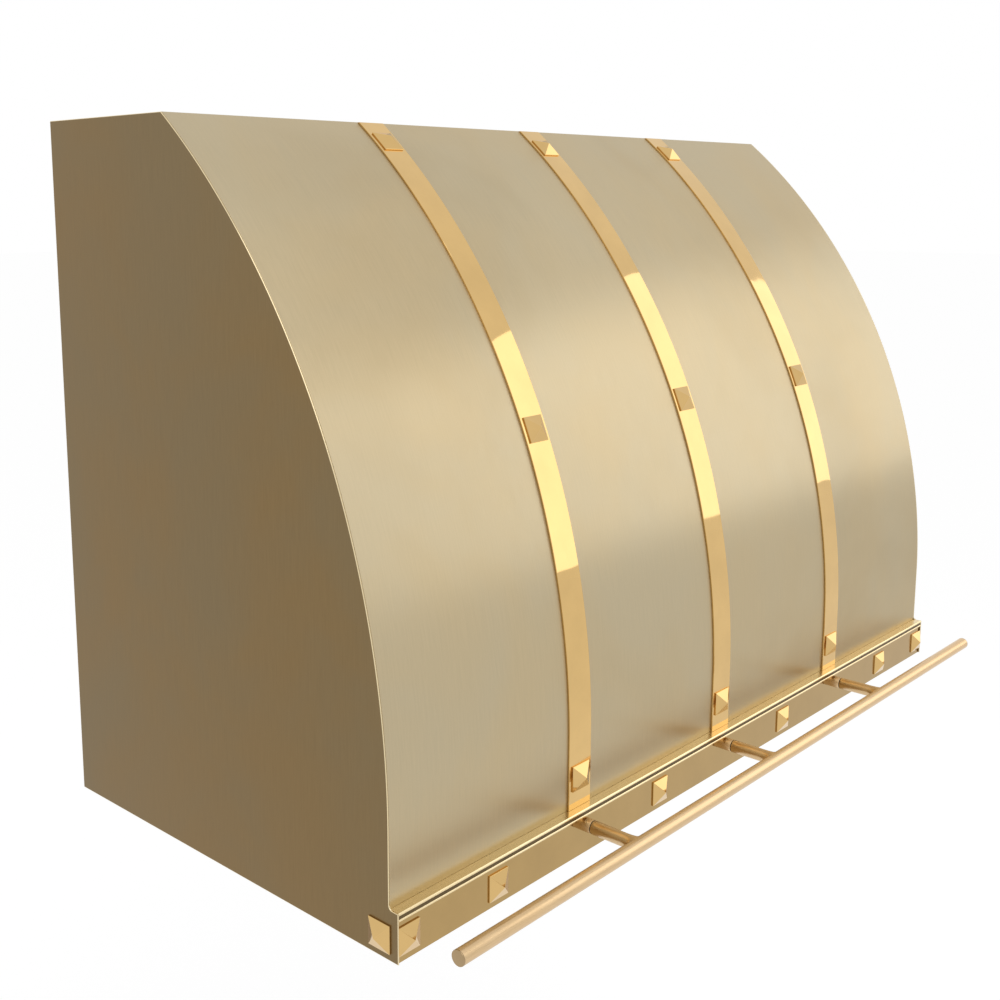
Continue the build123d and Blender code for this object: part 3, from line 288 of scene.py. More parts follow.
def brushed_steel(name, rgb, axis, roughness=0.27):
    """Stainless steel, brushed along X (0), Y (1) or Z (2)."""
    material, tree, shader = finish_named(name, Metallic=1.0, Anisotropic=0.4)
    scale = [700.0, 700.0, 700.0]
    scale[axis] = 7.0
    place = object_place(tree)
    streaks = noise(tree, stretched(tree, place, scale), 1.0, 4.0, 0.6)
    clouds = noise(tree, place, 6.0, 3.0, 0.6)
    tone = mix(tree, spread(tree, streaks, 0.25, 0.75), tinted(rgb, 0.90), tinted(rgb, 1.08))
    base = mix(tree, spread(tree, clouds, 0.3, 0.75, 0.0, 0.35), tone, tinted(rgb, 0.82))
    rough = spread(tree, streaks, 0.2, 0.8, roughness - 0.06, roughness + 0.08)
    relief = bumped(tree, streaks, 0.00004, 0.6)
    feed(tree, shader, Base_Color=base, Roughness=rough, Normal=relief)
    return material


def plated_steel(name, rgb, spangle=70.0, roughness=0.38):
    """Zinc plated sheet with soft crystal flakes and a dull bloom."""
    material, tree, shader = finish_named(name, Metallic=1.0)
    place = object_place(tree)
    warped = noise(tree, place, 20.0, 2.0)
    sockets = {"Vector": place, "Scale": spangle, "Randomness": 1.0}
    flakes = node(tree, "TexVoronoi", sockets, feature="F1").outputs["Color"]
    tone = node(tree, "SeparateColor", {"Color": flakes}).outputs[0]
    base = mix(tree, tone, tinted(rgb, 0.90), tinted(rgb, 1.06))
    bloom = mix(tree, spread(tree, warped, 0.45, 0.8, 0.0, 0.5), base, tinted(rgb, 0.7))
    rough = spread(tree, tone, 0.0, 1.0, roughness - 0.08, roughness + 0.12)
    relief = bumped(tree, warped, 0.0003, 0.4)
    feed(tree, shader, Base_Color=bloom, Roughness=rough, Normal=relief)
    return material


def bolt_steel(name):
    """Turned and rolled steel of small fasteners, with fine grey specks."""
    material, tree, shader = finish_named(name, Metallic=1.0)
    specks = noise(tree, object_place(tree), 420.0, 4.0, 0.65)
    base = mix(tree, spread(tree, specks, 0.3, 0.7), (0.30, 0.30, 0.30), (0.56, 0.55, 0.53))
    feed(tree, shader, Base_Color=base, Roughness=spread(tree, specks, 0.2, 0.8, 0.22, 0.45))
    return material


def painted(name, rgb, bumps=0.00012, roughness=0.42):
    """Baked enamel with a fine orange peel and worn, dusty patches."""
    material, tree, shader = finish_named(name, Metallic=0.0, Coat_Weight=0.25, Coat_Roughness=0.25)
    place = object_place(tree)
    peel = noise(tree, place, 520.0, 2.0, 0.5)
    dust = noise(tree, place, 28.0, 5.0, 0.65)
    base = mix(tree, spread(tree, dust, 0.45, 0.8, 0.0, 0.5), rgb, tuple(v * 0.6 + 0.08 for v in rgb))
    rough = spread(tree, dust, 0.35, 0.75, roughness - 0.08, roughness + 0.16)
    feed(tree, shader, Base_Color=base, Roughness=rough, Normal=bumped(tree, peel, bumps, 0.5))
    return material


def moulded(name, rgb, roughness=0.45, grain=0.00015):
    """Moulded plastic or rubber with a fine spark texture."""
    material, tree, shader = finish_named(name, Metallic=0.0)
    place = object_place(tree)
    spark = noise(tree, place, 1100.0, 3.0, 0.6)
    rub = noise(tree, place, 45.0, 4.0, 0.6)
    base = mix(tree, spread(tree, rub, 0.4, 0.8), rgb, tuple(v * 0.8 + 0.02 for v in rgb))
    rough = spread(tree, rub, 0.3, 0.8, roughness - 0.1, roughness + 0.1)
    feed(tree, shader, Base_Color=base, Roughness=rough, Normal=bumped(tree, spark, grain, 0.5))
    return material


def frosted_glass(name):
    """Lamp lens: pale glass, sand-blasted on its inner face."""
    material, tree, shader = finish_named(name, Transmission_Weight=0.75, IOR=1.5, Coat_Weight=0.6)
    place = object_place(tree)
    frost = noise(tree, place, 1500.0, 3.0, 0.6)
    cloud = noise(tree, place, 60.0, 3.0)
    base = mix(tree, cloud, (0.86, 0.89, 0.90), (0.95, 0.96, 0.95))
    rough = spread(tree, frost, 0.2, 0.8, 0.22, 0.45)
    feed(tree, shader, Base_Color=base, Roughness=rough, Normal=bumped(tree, frost, 0.00006, 0.4))
    return material


# Small tools for meshes

def loft(rings):
    """Points and faces of closed rings joined one to the next, with both ends closed."""
    count = len(rings[0])
    points = [point for ring in rings for point in ring]
    faces = []
    for row in range(len(rings) - 1):
        for k in range(count):
            here, beside = row * count + k, row * count + (k + 1) % count
            faces.append((here, beside, beside + count, here + count))
    faces.append(tuple(range(count - 1, -1, -1)))
    faces.append(tuple(range(len(points) - count, len(points))))
    return points, faces


def joined(parts):
    """Several (points, faces) as one."""
    points, faces = [], []
    for part_points, part_faces in parts:
        faces += [tuple(index + len(points) for index in face) for face in part_faces]
        points += part_points
    return points, faces


def piece_of(name, shape, material, along, across, bevel=0.0, bevel_angle=35.0, sharp=18.0, rubbed=None):
    """Object of a shape, with broken edges that may take a second, brighter finish (partly rubbed wear,
    partly a painted highlight), smooth flags and a grain map in metres.
    """
    points, faces = shape
    work = bmesh.new()
    corners = [work.verts.new(point) for point in points]
    for face in faces:
        work.faces.new([corners[index] for index in face])
    bmesh.ops.recalc_face_normals(work, faces=work.faces)
    if bevel:
        hard = [
            edge for edge in work.edges
            if len(edge.link_faces) == 2 and edge.calc_face_angle(0.0) > math.radians(bevel_angle)
        ]
        broken = bmesh.ops.bevel(
            work, geom=hard, offset=bevel, offset_type="OFFSET", segments=2, profile=0.5,
            affect="EDGES", clamp_overlap=True, material=1 if rubbed else -1,
        )
        # The bevel faces take the brighter second finish: a painted highlight, partly rubbed wear.
        if rubbed:
            for face in broken["faces"]:
                face.material_index = 1
    layer = work.loops.layers.uv.new(GRAIN)
    for face in work.faces:
        for loop in face.loops:
            loop[layer].uv = (across(loop.vert.co), along(loop.vert.co))
    mesh = bpy.data.meshes.new(name)
    work.to_mesh(mesh)
    work.free()
    mesh.shade_smooth()
    mesh.set_sharp_from_angle(angle=math.radians(sharp))
    mesh.materials.append(material)
    if rubbed:
        mesh.materials.append(rubbed)
    piece = bpy.data.objects.new(name, mesh)
    bpy.context.scene.collection.objects.link(piece)
    if bevel:
        even = piece.modifiers.new("even_normals", "WEIGHTED_NORMAL")
        even.keep_sharp = True
        even.weight = 100
    return piece


def settle(piece, body, slot, *nodes):
    """The piece rides on a body and stands for CAD nodes, which it hides; the slot is not used."""
    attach(piece, body)
    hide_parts(*nodes)


def tarnish_and_painted_shade(piece, rgb, inside):
    """Darker, duller brass on the faces whose middle passes the test: painted shade in grooves, partly
    tarnish that polishing misses.
    """
    material, tree, shader = finish_named(piece.name + "_tarnish_and_painted_shade", Metallic=1.0)
    blotch = noise(tree, object_place(tree), 60.0, 4.0, 0.65)
    base = mix(tree, spread(tree, blotch, 0.3, 0.7), tinted(rgb, 0.8), tinted(rgb, 1.2))
    feed(tree, shader, Base_Color=base, Roughness=spread(tree, blotch, 0.3, 0.7, 0.40, 0.55))
    piece.data.materials.append(material)
    marked = [face for face in piece.data.polygons if inside(face.center)]
    if not marked:
        raise RuntimeError(f"no face of {piece.name} lies in its groove")
    for face in marked:
        face.material_index = len(piece.data.materials) - 1


def dress(material, *names):
    """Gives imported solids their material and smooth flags."""
    for name in names:
        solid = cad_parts[name]
        solid.data.materials.clear()
        solid.data.materials.append(material)
        solid.data.shade_smooth()
        solid.data.set_sharp_from_angle(angle=math.radians(28.0))


# The barrel's line

WALL_Y = panel_high.y


def barrel_arc(sizes):
    """Radius, centre y and foot height of the barrel's outer arc."""
    foot = sizes.ledge_height + sizes.foot_rise
    rise = sizes.height - foot
    run = sizes.shell_depth - sizes.top_depth
    radius = (run ** 2 + rise ** 2) / (2 * run)
    return radius, WALL_Y - sizes.shell_depth + radius, foot


def barrel_line(sizes, outset, count=128):
    """Points (y, z) from the ledge up to the top edge, offset outward."""
    radius, centre, arc_foot = barrel_arc(sizes)
    radius += outset
    sweep = math.asin((sizes.height - arc_foot) / radius)
    line = [(centre - radius, sizes.ledge_height)]
    for k in range(count + 1):
        turn = sweep * k / count
        line.append((centre - radius * math.cos(turn), arc_foot + radius * math.sin(turn)))
    return line


def along_barrel(sizes):
    """Function of a point: its distance along the barrel from the ledge."""
    radius, centre, arc_foot = barrel_arc(sizes)

    def along(point):
        if point.z <= arc_foot:
            return point.z - sizes.ledge_height
        return sizes.foot_rise + radius * math.atan2(point.z - arc_foot, centre - point.y)

    return along


def strap_seat(sizes, along):
    """Middle of a strap's face this far from the ledge, and the way it looks out."""
    radius, centre, arc_foot = barrel_arc(sizes)
    radius += sizes.strap_gap + sizes.strap_thickness
    if along <= sizes.foot_rise:
        return (centre - radius, sizes.ledge_height + along), (-1.0, 0.0)
    turn = (along - sizes.foot_rise) / radius
    out = (-math.cos(turn), math.sin(turn))
    return (centre + radius * out[0], arc_foot + radius * out[1]), out


def strap_length(sizes):
    """Length of a strap along its face."""
    radius, _, arc_foot = barrel_arc(sizes)
    radius += sizes.strap_gap + sizes.strap_thickness
    return sizes.foot_rise + radius * math.asin((sizes.height - arc_foot) / radius)


# Operators, one for each group of like pieces

class HOOD_OT_side_panels(bpy.types.Operator):
    """Two flat end sheets with the barrel's curve, the ledge's step and the small cove"""

    bl_idname = "hood.side_panels"
    bl_label = "Side panels"

    def execute(self, context):
        sizes, colours = context.scene.hood_sizes, context.scene.hood_colours
        # Side panels in the dark side brass: painted shade.
        material = brushed_brass("side_brass_painted_shade", colours.side, 0.33, 0.55, 0.09, 0.11)
        # Brighter brass on the panel edges: a painted highlight, partly rubbed wear.
        rubbed = mirror_brass("edge_brass_rubbed_and_highlit", tinted(colours.satin, 1.45), 0.16, 0.0001, 40.0)
        front = WALL_Y - sizes.shell_depth
        ledge_front = ledge_low.y
        cove = [
            (
                front - sizes.cove + sizes.cove * math.cos(math.radians(-90 + 9 * k)),
                sizes.ledge_height + sizes.cove + sizes.cove * math.sin(math.radians(-90 + 9 * k)),
            )
            for k in range(11)
        ]
        outline = [(WALL_Y, 0.0), (ledge_front, 0.0), (ledge_front, sizes.ledge_height)]
        outline += cove + barrel_line(sizes, 0.0)[1:] + [(WALL_Y, sizes.height)]
        for side, name in ((-1, "left_side_panel"), (1, "right_side_panel")):
            rings = [
                [(side * x, y, z) for y, z in outline]
                for x in (sizes.shell_half - sizes.sheet, sizes.shell_half)
            ]
            piece = piece_of(
                name + "_sheet", loft(rings), material, lambda p: p.z, lambda p: p.y + p.x,
                sizes.rubbed_and_highlit_edge, rubbed=rubbed,
            )
            settle(piece, "hood", "side_brass", name)
        return {"FINISHED"}


class HOOD_OT_barrel(bpy.types.Operator):
    """Curved front sheet, brushed along its curve"""

    bl_idname = "hood.barrel"
    bl_label = "Barrel front"

    def execute(self, context):
        sizes, colours = context.scene.hood_sizes, context.scene.hood_colours

        def aged(tree, base):
            bloom = noise(tree, object_place(tree), 1.7, 4.0, 0.6, 0.4)
            darker = mix(tree, 1.0, base, (0.86, 0.83, 0.78), "MULTIPLY")
            return mix(tree, spread(tree, bloom, 0.42, 0.72, 0.0, 0.6, smooth=True), base, darker)

        material = brushed_brass(
            "barrel_brass_brushed", colours.satin, colours.roughness, colours.brush, 0.07, 0.05, aged
        )
        outer = barrel_line(sizes, 0.0)
        inner = barrel_line(sizes, -sizes.sheet)
        section = outer + inner[::-1]
        columns = 24
        rings = [
            [(sizes.barrel_half * (2 * k / columns - 1), y, z) for y, z in section]
            for k in range(columns + 1)
        ]
        piece = piece_of(
            "barrel_front_sheet", loft(rings), material, along_barrel(sizes), lambda p: p.x, sizes.edge_round
        )
        settle(piece, "hood", "barrel_brass", "barrel_front")
        return {"FINISHED"}


class HOOD_OT_ledge(bpy.types.Operator):
    """Light ledge bar and the polished apron band below it"""

    bl_idname = "hood.ledge"
    bl_label = "Ledge and apron"

    def execute(self, context):
        sizes, colours = context.scene.hood_sizes, context.scene.hood_colours
        bar = brushed_brass("ledge_brass_satin", colours.ledge, 0.27, 0.5, 0.05, 0.04)
        back, front = ledge_high.y, ledge_low.y
        low, high = ledge_low.z, ledge_high.z
        chamfer, recess, bead = sizes.ledge_chamfer, sizes.ledge_recess, sizes.ledge_bead
        floor = front + recess
        section = [
            (front, low), (front, low + bead), (floor, low + bead + recess),
            (floor, high - chamfer - bead - recess), (front, high - chamfer - bead),
            (front, high - chamfer), (front + chamfer, high), (back, high), (back, low),
        ]
        rings = [[(x, y, z) for y, z in section] for x in (-sizes.barrel_half, sizes.barrel_half)]
        piece = piece_of(
            "ledge_trim_bar", loft(rings), bar, lambda p: p.x, lambda p: p.y + p.z, 0.0001, 30.0, sharp=12.0
        )
        foot, head = low + bead + recess, high - chamfer - bead - recess
        # The ledge's recessed band is painted dark: painted shade, partly tarnish.
        tarnish_and_painted_shade(piece, tinted(colours.side, 0.7), lambda p: p.y < floor + 0.0001 and foot < p.z < head)
        settle(piece, "hood", "ledge_brass", "ledge_trim")

        # The apron's polished brass is darkened: a painted reflection of dark ground.
        polished = mirror_brass("apron_brass_painted_dark_reflection", tinted(colours.mirror, 0.62), 0.05, 0.0006, 5.0)
        front, back = apron_low.y, apron_high.y
        top, wall = apron_high.z, 0.003
        section = [
            (front, 0.0), (front, top), (front + wall, top), (front + wall, sizes.sheet),
            (back, sizes.sheet), (back, 0.0),
        ]
        rings = [[(x, y, z) for y, z in section] for x in (-sizes.barrel_half, sizes.barrel_half)]
        piece = piece_of(
            "apron_band_polished", loft(rings), polished, lambda p: p.x, lambda p: p.y + p.z, sizes.edge_round
        )
        settle(piece, "hood", "apron_brass", "apron_band")
        return {"FINISHED"}


class HOOD_OT_straps(bpy.types.Operator):
    """Three polished straps that follow the barrel"""

    bl_idname = "hood.straps"
    bl_label = "Straps"

    def execute(self, context):
        sizes, colours = context.scene.hood_sizes, context.scene.hood_colours
        material = mirror_brass("strap_brass_mirror", colours.mirror)
        outer = barrel_line(sizes, sizes.strap_gap + sizes.strap_thickness)
        inner = barrel_line(sizes, sizes.strap_gap)
        half = sizes.strap_width / 2
        for k, place in enumerate(PLACES):
            middle = (k - 1) * sizes.bay
            rings = [
                [
                    (middle - half, y_in, z_in), (middle - half, y_out, z_out),
                    (middle + half, y_out, z_out), (middle + half, y_in, z_in),
                ]
                for (y_out, z_out), (y_in, z_in) in zip(outer, inner)
            ]
            piece = piece_of(
                f"strap_{place}_polished", loft(rings), material, along_barrel(sizes),
                lambda p: p.x, sizes.edge_round
            )
            settle(piece, "hood", "strap_brass", f"strap_{place}")
        return {"FINISHED"}


class HOOD_OT_studs(bpy.types.Operator):
    """Pyramid studs on the straps, the apron and the sides"""

    bl_idname = "hood.studs"
    bl_label = "Studs"

    def stud(self, sizes, centre, out, up, wall):
        """One pyramid with its upright edge, seated on a plane, and its shank."""
        out, up = Vector(out).normalized(), Vector(up).normalized()
        beside = up.cross(out)
        seat = Vector(centre) + out * 0.00005
        rings = []
        for half, height in (
            (sizes.stud / 2, 0.0), (sizes.stud / 2, sizes.stud_edge), (sizes.stud_tip / 2, sizes.stud_height)
        ):
            corners = ((-half, -half), (half, -half), (half, half), (-half, half))
            rings.append([tuple(seat + beside * a + up * b + out * height) for a, b in corners])
        turns = [2 * math.pi * k / 20 for k in range(20)]
        radius = sizes.shank / 2
        shank = [
            [tuple(seat + (beside * math.cos(t) + up * math.sin(t)) * radius + out * depth) for t in turns]
            for depth in (-wall, 0.0)
        ]
        return [loft(rings), loft(shank)]

    def execute(self, context):
        sizes, colours = context.scene.hood_sizes, context.scene.hood_colours
        material = mirror_brass("stud_brass_mirror", tinted(colours.mirror, 0.96), 0.05, 0.00003, 30.0)
        total = strap_length(sizes)
        strap_parts = []
        for k in (-1, 0, 1):
            for along in (sizes.stud_end, total / 2, total - sizes.stud_end):
                (y, z), (out_y, out_z) = strap_seat(sizes, along)
                strap_parts += self.stud(
                    sizes, (k * sizes.bay, y, z), (0, out_y, out_z), (0, out_z, -out_y), 0.011
                )
        level = apron_high.z / 2
        end = sizes.shell_half - sizes.sheet - sizes.stud / 2
        apron_parts = []
        for x in (-end, -1.5 * sizes.bay, -0.5 * sizes.bay, 0.5 * sizes.bay, 1.5 * sizes.bay, end):
            apron_parts += self.stud(sizes, (x, apron_low.y, level), (0, -1, 0), (0, 0, 1), 0.009)
        side_parts = []
        for side in (-1, 1):
            centre = (side * sizes.shell_half, ledge_low.y + 0.032, level)
            side_parts += self.stud(sizes, centre, (side, 0, 0), (0, 0, 1), 0.008)
        groups = (("strap_studs", strap_parts), ("apron_studs", apron_parts), ("side_studs", side_parts))
        for name, parts in groups:
            piece = piece_of(
                name + "_faceted", joined(parts), material, lambda p: p.z, lambda p: p.x + p.y, 0.0003, 20.0,
                sharp=12.0
            )
            settle(piece, "hood", "stud_brass", name)
        return {"FINISHED"}


class HOOD_OT_rail(bpy.types.Operator):
    """Pot rail with its end caps, posts and spacer rings"""

    bl_idname = "hood.rail"
    bl_label = "Pot rail"

    def ring(self, x, radius, y, z, count=64):
        """Circle round the rail's axis."""
        turns = [2 * math.pi * k / count for k in range(count)]
        return [(x, y + radius * math.cos(t), z + radius * math.sin(t)) for t in turns]

    def execute(self, context):
        sizes, colours = context.scene.hood_sizes, context.scene.hood_colours
        material = brushed_brass("rail_brass_satin", colours.rail, 0.30, 0.5, 0.12, 0.06)
        y, z = (rail_low.y + rail_high.y) / 2, (rail_low.z + rail_high.z) / 2
        radius = sizes.rail / 2

        def round_it(point):
            return radius * math.atan2(point.z - z, point.y - y)

        span = rail_high.x
        rings = [self.ring(span * (k / 20 - 1), radius, y, z) for k in range(41)]
        piece = piece_of("pot_rail_tube", loft(rings), material, lambda p: p.x, round_it, sharp=30.0)
        settle(piece, "hood", "rail_brass", "pot_rail")

        caps = []
        tip = cap_high.x
        for side in (-1, 1):
            rings = [self.ring(side * (span + 0.00003), radius, y, z)]
            for k in range(7):
                turn = math.pi / 2 * k / 6
                rings.append(self.ring(
                    side * (tip - sizes.cap_round + sizes.cap_round * math.sin(turn)),
                    radius - sizes.cap_round + sizes.cap_round * math.cos(turn), y, z,
                ))
            caps.append(loft(rings))
        # The end caps take the rail brass at 0.6 of its brightness: painted shade.
        turned = mirror_brass("cap_brass_turned_painted_shade", tinted(colours.rail, 0.60), 0.14, 0.00003, 60.0)
        piece = piece_of(
            "rail_end_caps_turned", joined(caps), turned, lambda p: p.z, lambda p: p.y + p.x, sharp=30.0
        )
        settle(piece, "hood", "rail_brass", "rail_end_caps")

        root = apron_low.y
        seam = root - sizes.spacer - sizes.neck
        rings = []
        for k, place in enumerate(PLACES):
            x = (k - 1) * sizes.bay
            rings.append(self.spacer(sizes, x, root, z))
            self.post(sizes, material, place, x, seam, y, z, radius)
        piece = piece_of(
            "rail_spacers_rings", joined(rings), material, lambda p: p.y, lambda p: p.x + p.z, sharp=30.0
        )
        ring_end = root - sizes.spacer + 0.00001    # a hair inside the ring's end face
        # The ring's end face and the neck are painted near black: painted shade in the groove, partly
        # tarnish.
        tarnish_and_painted_shade(piece, tinted(colours.side, 0.35), lambda p: p.y < ring_end)
        settle(piece, "hood", "rail_brass", "rail_spacers")
        return {"FINISHED"}

    def spacer(self, sizes, x, root, z):
        """Ring at a post's root, with broken edges and the narrow neck before it."""
        full, neck, edge = sizes.post / 2, sizes.neck_diameter / 2, sizes.post_edge
        profile = [
            (0.0, full), (sizes.spacer - edge, full), (sizes.spacer - 0.3 * edge, full - 0.3 * edge),
            (sizes.spacer, full - edge), (sizes.spacer, neck), (sizes.spacer + sizes.neck, neck),
        ]
        return self.turned(profile, x, root, z)

    def turned(self, profile, x, root, z, count=48):
        """Round shape about a post's axis from (distance out, radius) pairs."""
        turns = [2 * math.pi * k / count for k in range(count)]
        rings = [
            [(x + r * math.cos(t), root - out, z + r * math.sin(t)) for t in turns] for out, r in profile
        ]
        return loft(rings)

    def post(self, sizes, material, place, x, seam, rail_y, z, rail_radius):
        """Post that flares along the rail and ends in a saddle round it."""
        full, edge, count = sizes.post / 2, sizes.post_edge, 64
        turns = [2 * math.pi * k / count for k in range(count)]
        span = seam - rail_y - rail_radius
        rings = []
        for out, radius in ((0.0, full - edge), (0.3 * edge, full - 0.3 * edge), (edge, full)):
            rings.append([(x + radius * math.cos(t), seam - out, z + radius * math.sin(t)) for t in turns])
        start = span - 2.2 * sizes.flare
        for k in range(15):
            share_out = k / 14
            bulge = sizes.flare * (1 - math.sqrt(max(0.0, 1 - share_out ** 2)))
            ring = []
            for t in turns:
                up = full * math.sin(t)
                wrap = min(abs(up), rail_radius - 0.0003)
                saddle = rail_y + math.sqrt(rail_radius ** 2 - wrap ** 2) + 0.00005
                end = seam - saddle
                out = start + (end - start) * share_out
                ring.append((x + (full + bulge) * math.cos(t), seam - out, z + up))
            rings.append(ring)
        piece = piece_of(
            f"rail_post_{place}_flared", loft(rings), material, lambda p: p.y,
            lambda p: math.atan2(p.z - z, p.x - x) * full, sharp=30.0
        )
        settle(piece, "hood", "rail_brass", f"rail_post_{place}")


class HOOD_OT_shell_sheets(bpy.types.Operator):
    """Top panel, back panel and what fixes the shell"""

    bl_idname = "hood.shell_sheets"
    bl_label = "Top, back and ribs"

    def execute(self, context):
        colours = context.scene.hood_colours
        plated = plated_steel("back_plated_steel", colours.plated)
        dress(plated, "back_panel", "mounting_bars", "barrel_ribs", "junction_box", "liner_brackets")
        # The top panel takes the dark side brass: painted shade.
        dress(solid_brass("top_brass_painted_shade", colours.side, 1), "top_panel")
        fasteners = bolt_steel("fastener_steel")
        dress(fasteners, "stud_nuts", "rail_bolts", "liner_screws", "motor_shaft", "damper_rod")
        dress(moulded("bushing_black_rubber", (0.02, 0.02, 0.021), 0.6, 0.0002), "cable_bushing")
        return {"FINISHED"}


class HOOD_OT_liner(bpy.types.Operator):
    """Stainless liner, baffle filters, grease trough and cup, lamps and knobs"""

    bl_idname = "hood.liner"
    bl_label = "Liner, filters and lamps"

    def execute(self, context):
        colours = context.scene.hood_colours
        liner = brushed_steel("liner_steel_brushed", colours.steel, 0)
        dress(liner, "liner_front_strip", "liner_border_strips", "filter_ledge", "grease_trough")
        canopy = brushed_steel("canopy_steel_brushed", tinted(colours.steel, 0.92), 2, 0.33)
        dress(canopy, "canopy_walls", "canopy_slopes", "canopy_lid")
        cup = brushed_steel("cup_steel_brushed", tinted(colours.steel, 1.05), 0, 0.22)
        dress(cup, "grease_cup", "lamp_bezels")
        baffles = brushed_steel("baffle_steel_brushed", tinted(colours.steel, 1.04), 1, 0.24)
        wire = brushed_steel("handle_steel_drawn", tinted(colours.steel, 1.12), 0, 0.18)
        for k in range(1, 5):
            dress(baffles, f"baffle_filter_{k}")
            dress(wire, f"filter_handle_{k}")
        dress(frosted_glass("lamp_frosted_glass"), "lamp_lenses")
        dress(solid_brass("knob_brass", colours.rail, 2), "fan_knob", "light_knob")
        dress(moulded("control_box_plastic", (0.06, 0.06, 0.065)), "control_box")
        return {"FINISHED"}


class HOOD_OT_blower(bpy.types.Operator):
    """Blower with its wheel and motor, duct and damper"""

    bl_idname = "hood.blower"
    bl_label = "Blower and duct"

    def execute(self, context):
        colours = context.scene.hood_colours
        sheet = plated_steel("blower_plated_sheet", colours.plated, 34.0)
        dress(sheet, "blower_casing", "blower_side_plates", "duct_transition", "duct_collar", "motor_bracket")
        wheel = plated_steel("wheel_plated_sheet", tinted(colours.plated, 1.08), 60.0, 0.3)
        dress(wheel, "impeller", "impeller_blades")
        flaps = plated_steel("flap_plated_sheet", tinted(colours.plated, 0.95), 48.0)
        dress(flaps, "damper_flap_front", "damper_flap_rear")
        dress(painted("motor_black_enamel", colours.motor), "motor")
        return {"FINISHED"}


# Stage

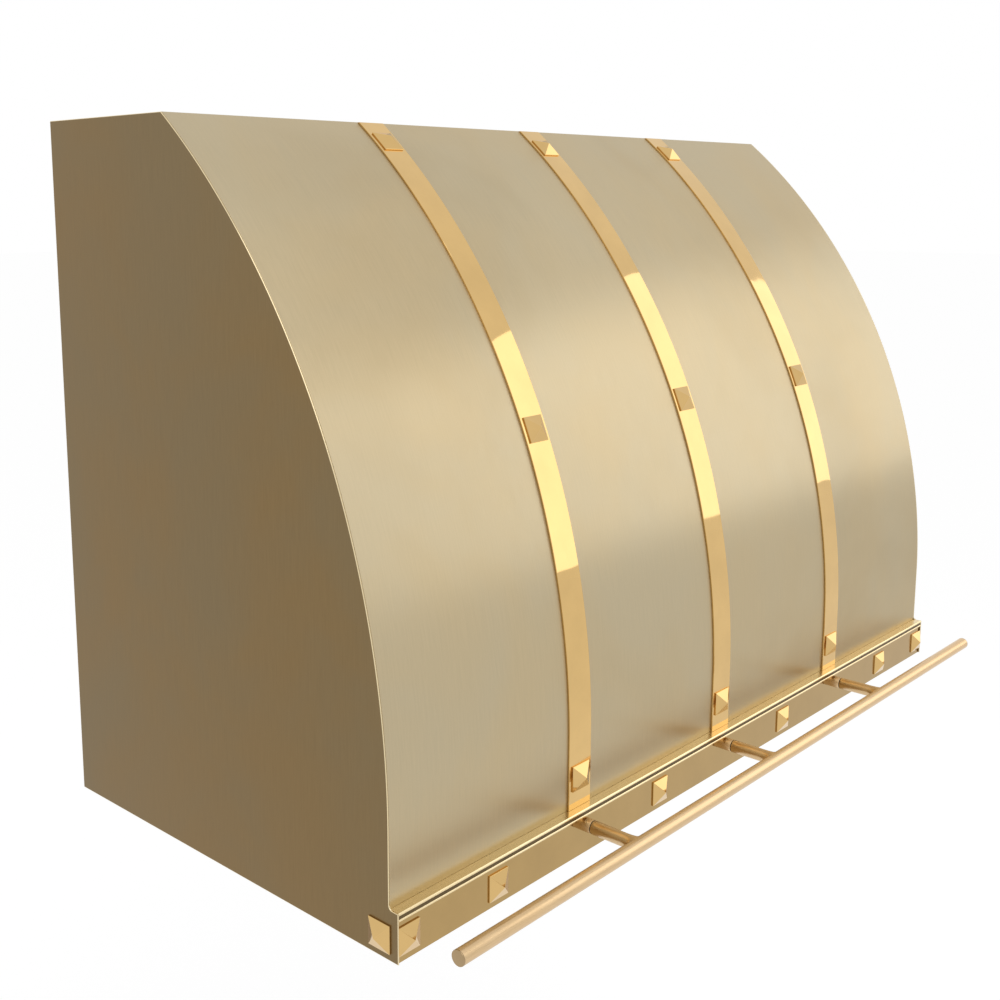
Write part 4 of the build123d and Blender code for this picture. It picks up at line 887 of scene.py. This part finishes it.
class HOOD_OT_stage(bpy.types.Operator):
    """Pale floor, white backdrop, soft lights and the camera"""

    bl_idname = "hood.stage"
    bl_label = "Stage"

    floor_drop = 1.6
    floor_reach = 60.0
    floor_tone = 0.55
    aim_height = 0.5
    light_level = 0.80

    def execute(self, context):
        self.floor()
        self.world(context)
        self.soft_light("soft_front", place=(3.13, -2.19, 1.67), size=(2.4, 2.6), energy=19.0)
        self.soft_light("soft_above", place=(-1.6, -2.6, 4.2), size=(3.0, 3.0), energy=30.0)
        self.camera(context)
        context.scene.view_settings.view_transform = "Standard"
        return {"FINISHED"}

    def staged(self, name, points, faces, material):
        """A mesh that belongs to the stage."""
        mesh = bpy.data.meshes.new(name)
        mesh.from_pydata(points, [], faces)
        mesh.materials.append(material)
        piece = bpy.data.objects.new(name, mesh)
        bpy.context.scene.collection.objects.link(piece)
        return piece

    def floor(self):
        """Wide pale floor that keeps the shadow and is clear from below."""
        material = bpy.data.materials.new("floor_pale")
        material.use_nodes = True
        tree = material.node_tree
        tree.nodes.clear()
        path = node(tree, "LightPath")
        seen = sum_of(tree, "MAXIMUM", path.outputs["Is Camera Ray"], path.outputs["Is Glossy Ray"])
        seen = sum_of(tree, "MAXIMUM", seen, path.outputs["Is Transmission Ray"])
        matte = node(tree, "BsdfDiffuse", {"Color": (self.floor_tone,) * 3 + (1.0,)})
        glow = node(tree, "Emission", {"Strength": sum_of(tree, "MULTIPLY", seen, self.floor_tone)})
        pale = node(tree, "AddShader", {0: matte.outputs[0], 1: glow.outputs[0]})
        under = node(tree, "NewGeometry").outputs["Backfacing"]
        clear = sum_of(tree, "MULTIPLY", under, path.outputs["Is Camera Ray"])
        empty = node(tree, "BsdfTransparent")
        shader = node(tree, "MixShader", {0: clear, 1: pale.outputs[0], 2: empty.outputs[0]})
        tree.links.new(shader.outputs[0], node(tree, "OutputMaterial").inputs["Surface"])
        reach, drop = self.floor_reach, -self.floor_drop
        corners = [(-reach, -reach, drop), (reach, -reach, drop), (reach, reach, drop), (-reach, reach, drop)]
        self.staged("floor", corners, [(0, 1, 2, 3)], material)

    def world(self, context):
        """White for what the eye and clear surfaces see, and a plain level for light."""
        world = bpy.data.worlds.new("studio_world")
        context.scene.world = world
        world.use_nodes = True
        tree = world.node_tree
        tree.nodes.clear()
        path = node(tree, "LightPath")
        seen = sum_of(tree, "MAXIMUM", path.outputs["Is Camera Ray"], path.outputs["Is Glossy Ray"])
        seen = sum_of(tree, "MAXIMUM", seen, path.outputs["Is Transmission Ray"])
        level = spread(tree, seen, 0.0, 1.0, self.light_level, 1.0)
        backdrop = node(tree, "Background", {"Color": (1.0, 1.0, 1.0, 1.0), "Strength": level})
        tree.links.new(backdrop.outputs[0], node(tree, "OutputWorld").inputs["Surface"])

    def soft_light(self, name, place, size, energy):
        """Large soft light aimed at the middle of the hood."""
        data = bpy.data.lights.new(name, "AREA")
        data.shape = "RECTANGLE"
        data.size, data.size_y = size
        data.energy = energy
        light = bpy.data.objects.new(name, data)
        bpy.context.scene.collection.objects.link(light)
        light.location = place
        aim = Vector((0.0, 0.0, self.aim_height)) - Vector(place)
        light.rotation_euler = aim.to_track_quat("-Z", "Y").to_euler()

    def camera(self, context):
        """Camera at the photograph's viewing angle."""
        data = bpy.data.cameras.new("photo_view")
        data.lens, data.sensor_width = 46.2757, 36.0
        data.shift_x, data.shift_y = 0.08, -0.08
        data.clip_end = 200.0
        eye = bpy.data.objects.new("photo_view", data)
        bpy.context.scene.collection.objects.link(eye)
        eye.location = (-1.77659, -1.32661, 0.92245)
        eye.rotation_euler = tuple(math.radians(angle) for angle in (80.3468, 0.2634, -46.0458))
        context.scene.camera = eye


class HOOD_PT_pieces(bpy.types.Panel):
    """Lists the pieces, sizes and colours in the sidebar"""

    bl_idname = "HOOD_PT_pieces"
    bl_label = "Range hood"
    bl_space_type = "VIEW_3D"
    bl_region_type = "UI"
    bl_category = "Range Hood"

    def draw(self, context):
        layout = self.layout
        for operator in OPERATORS:
            layout.operator(operator.bl_idname)
        for settings in (context.scene.hood_sizes, context.scene.hood_colours):
            box = layout.box()
            for name in settings.__class__.__annotations__:
                box.prop(settings, name)


OPERATORS = (
    HOOD_OT_side_panels, HOOD_OT_barrel, HOOD_OT_ledge, HOOD_OT_straps, HOOD_OT_studs, HOOD_OT_rail,
    HOOD_OT_shell_sheets, HOOD_OT_liner, HOOD_OT_blower, HOOD_OT_stage,
)
CLASSES = (HoodSizes, HoodColours, *OPERATORS, HOOD_PT_pieces)


def register():
    """Registers the classes and hangs the settings on the scene."""
    for entry in CLASSES:
        bpy.utils.register_class(entry)
    bpy.types.Scene.hood_sizes = PointerProperty(type=HoodSizes)
    bpy.types.Scene.hood_colours = PointerProperty(type=HoodColours)


def unregister():
    """Takes the settings and classes away again."""
    del bpy.types.Scene.hood_colours
    del bpy.types.Scene.hood_sizes
    for entry in reversed(CLASSES):
        bpy.utils.unregister_class(entry)


def main():
    """Builds every piece and the stage."""
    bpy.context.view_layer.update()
    register()
    bpy.ops.hood.side_panels()
    bpy.ops.hood.barrel()
    bpy.ops.hood.ledge()
    bpy.ops.hood.straps()
    bpy.ops.hood.studs()
    bpy.ops.hood.rail()
    bpy.ops.hood.shell_sheets()
    bpy.ops.hood.liner()
    bpy.ops.hood.blower()
    bpy.ops.hood.stage()


if __name__ == "__main__":
    main()
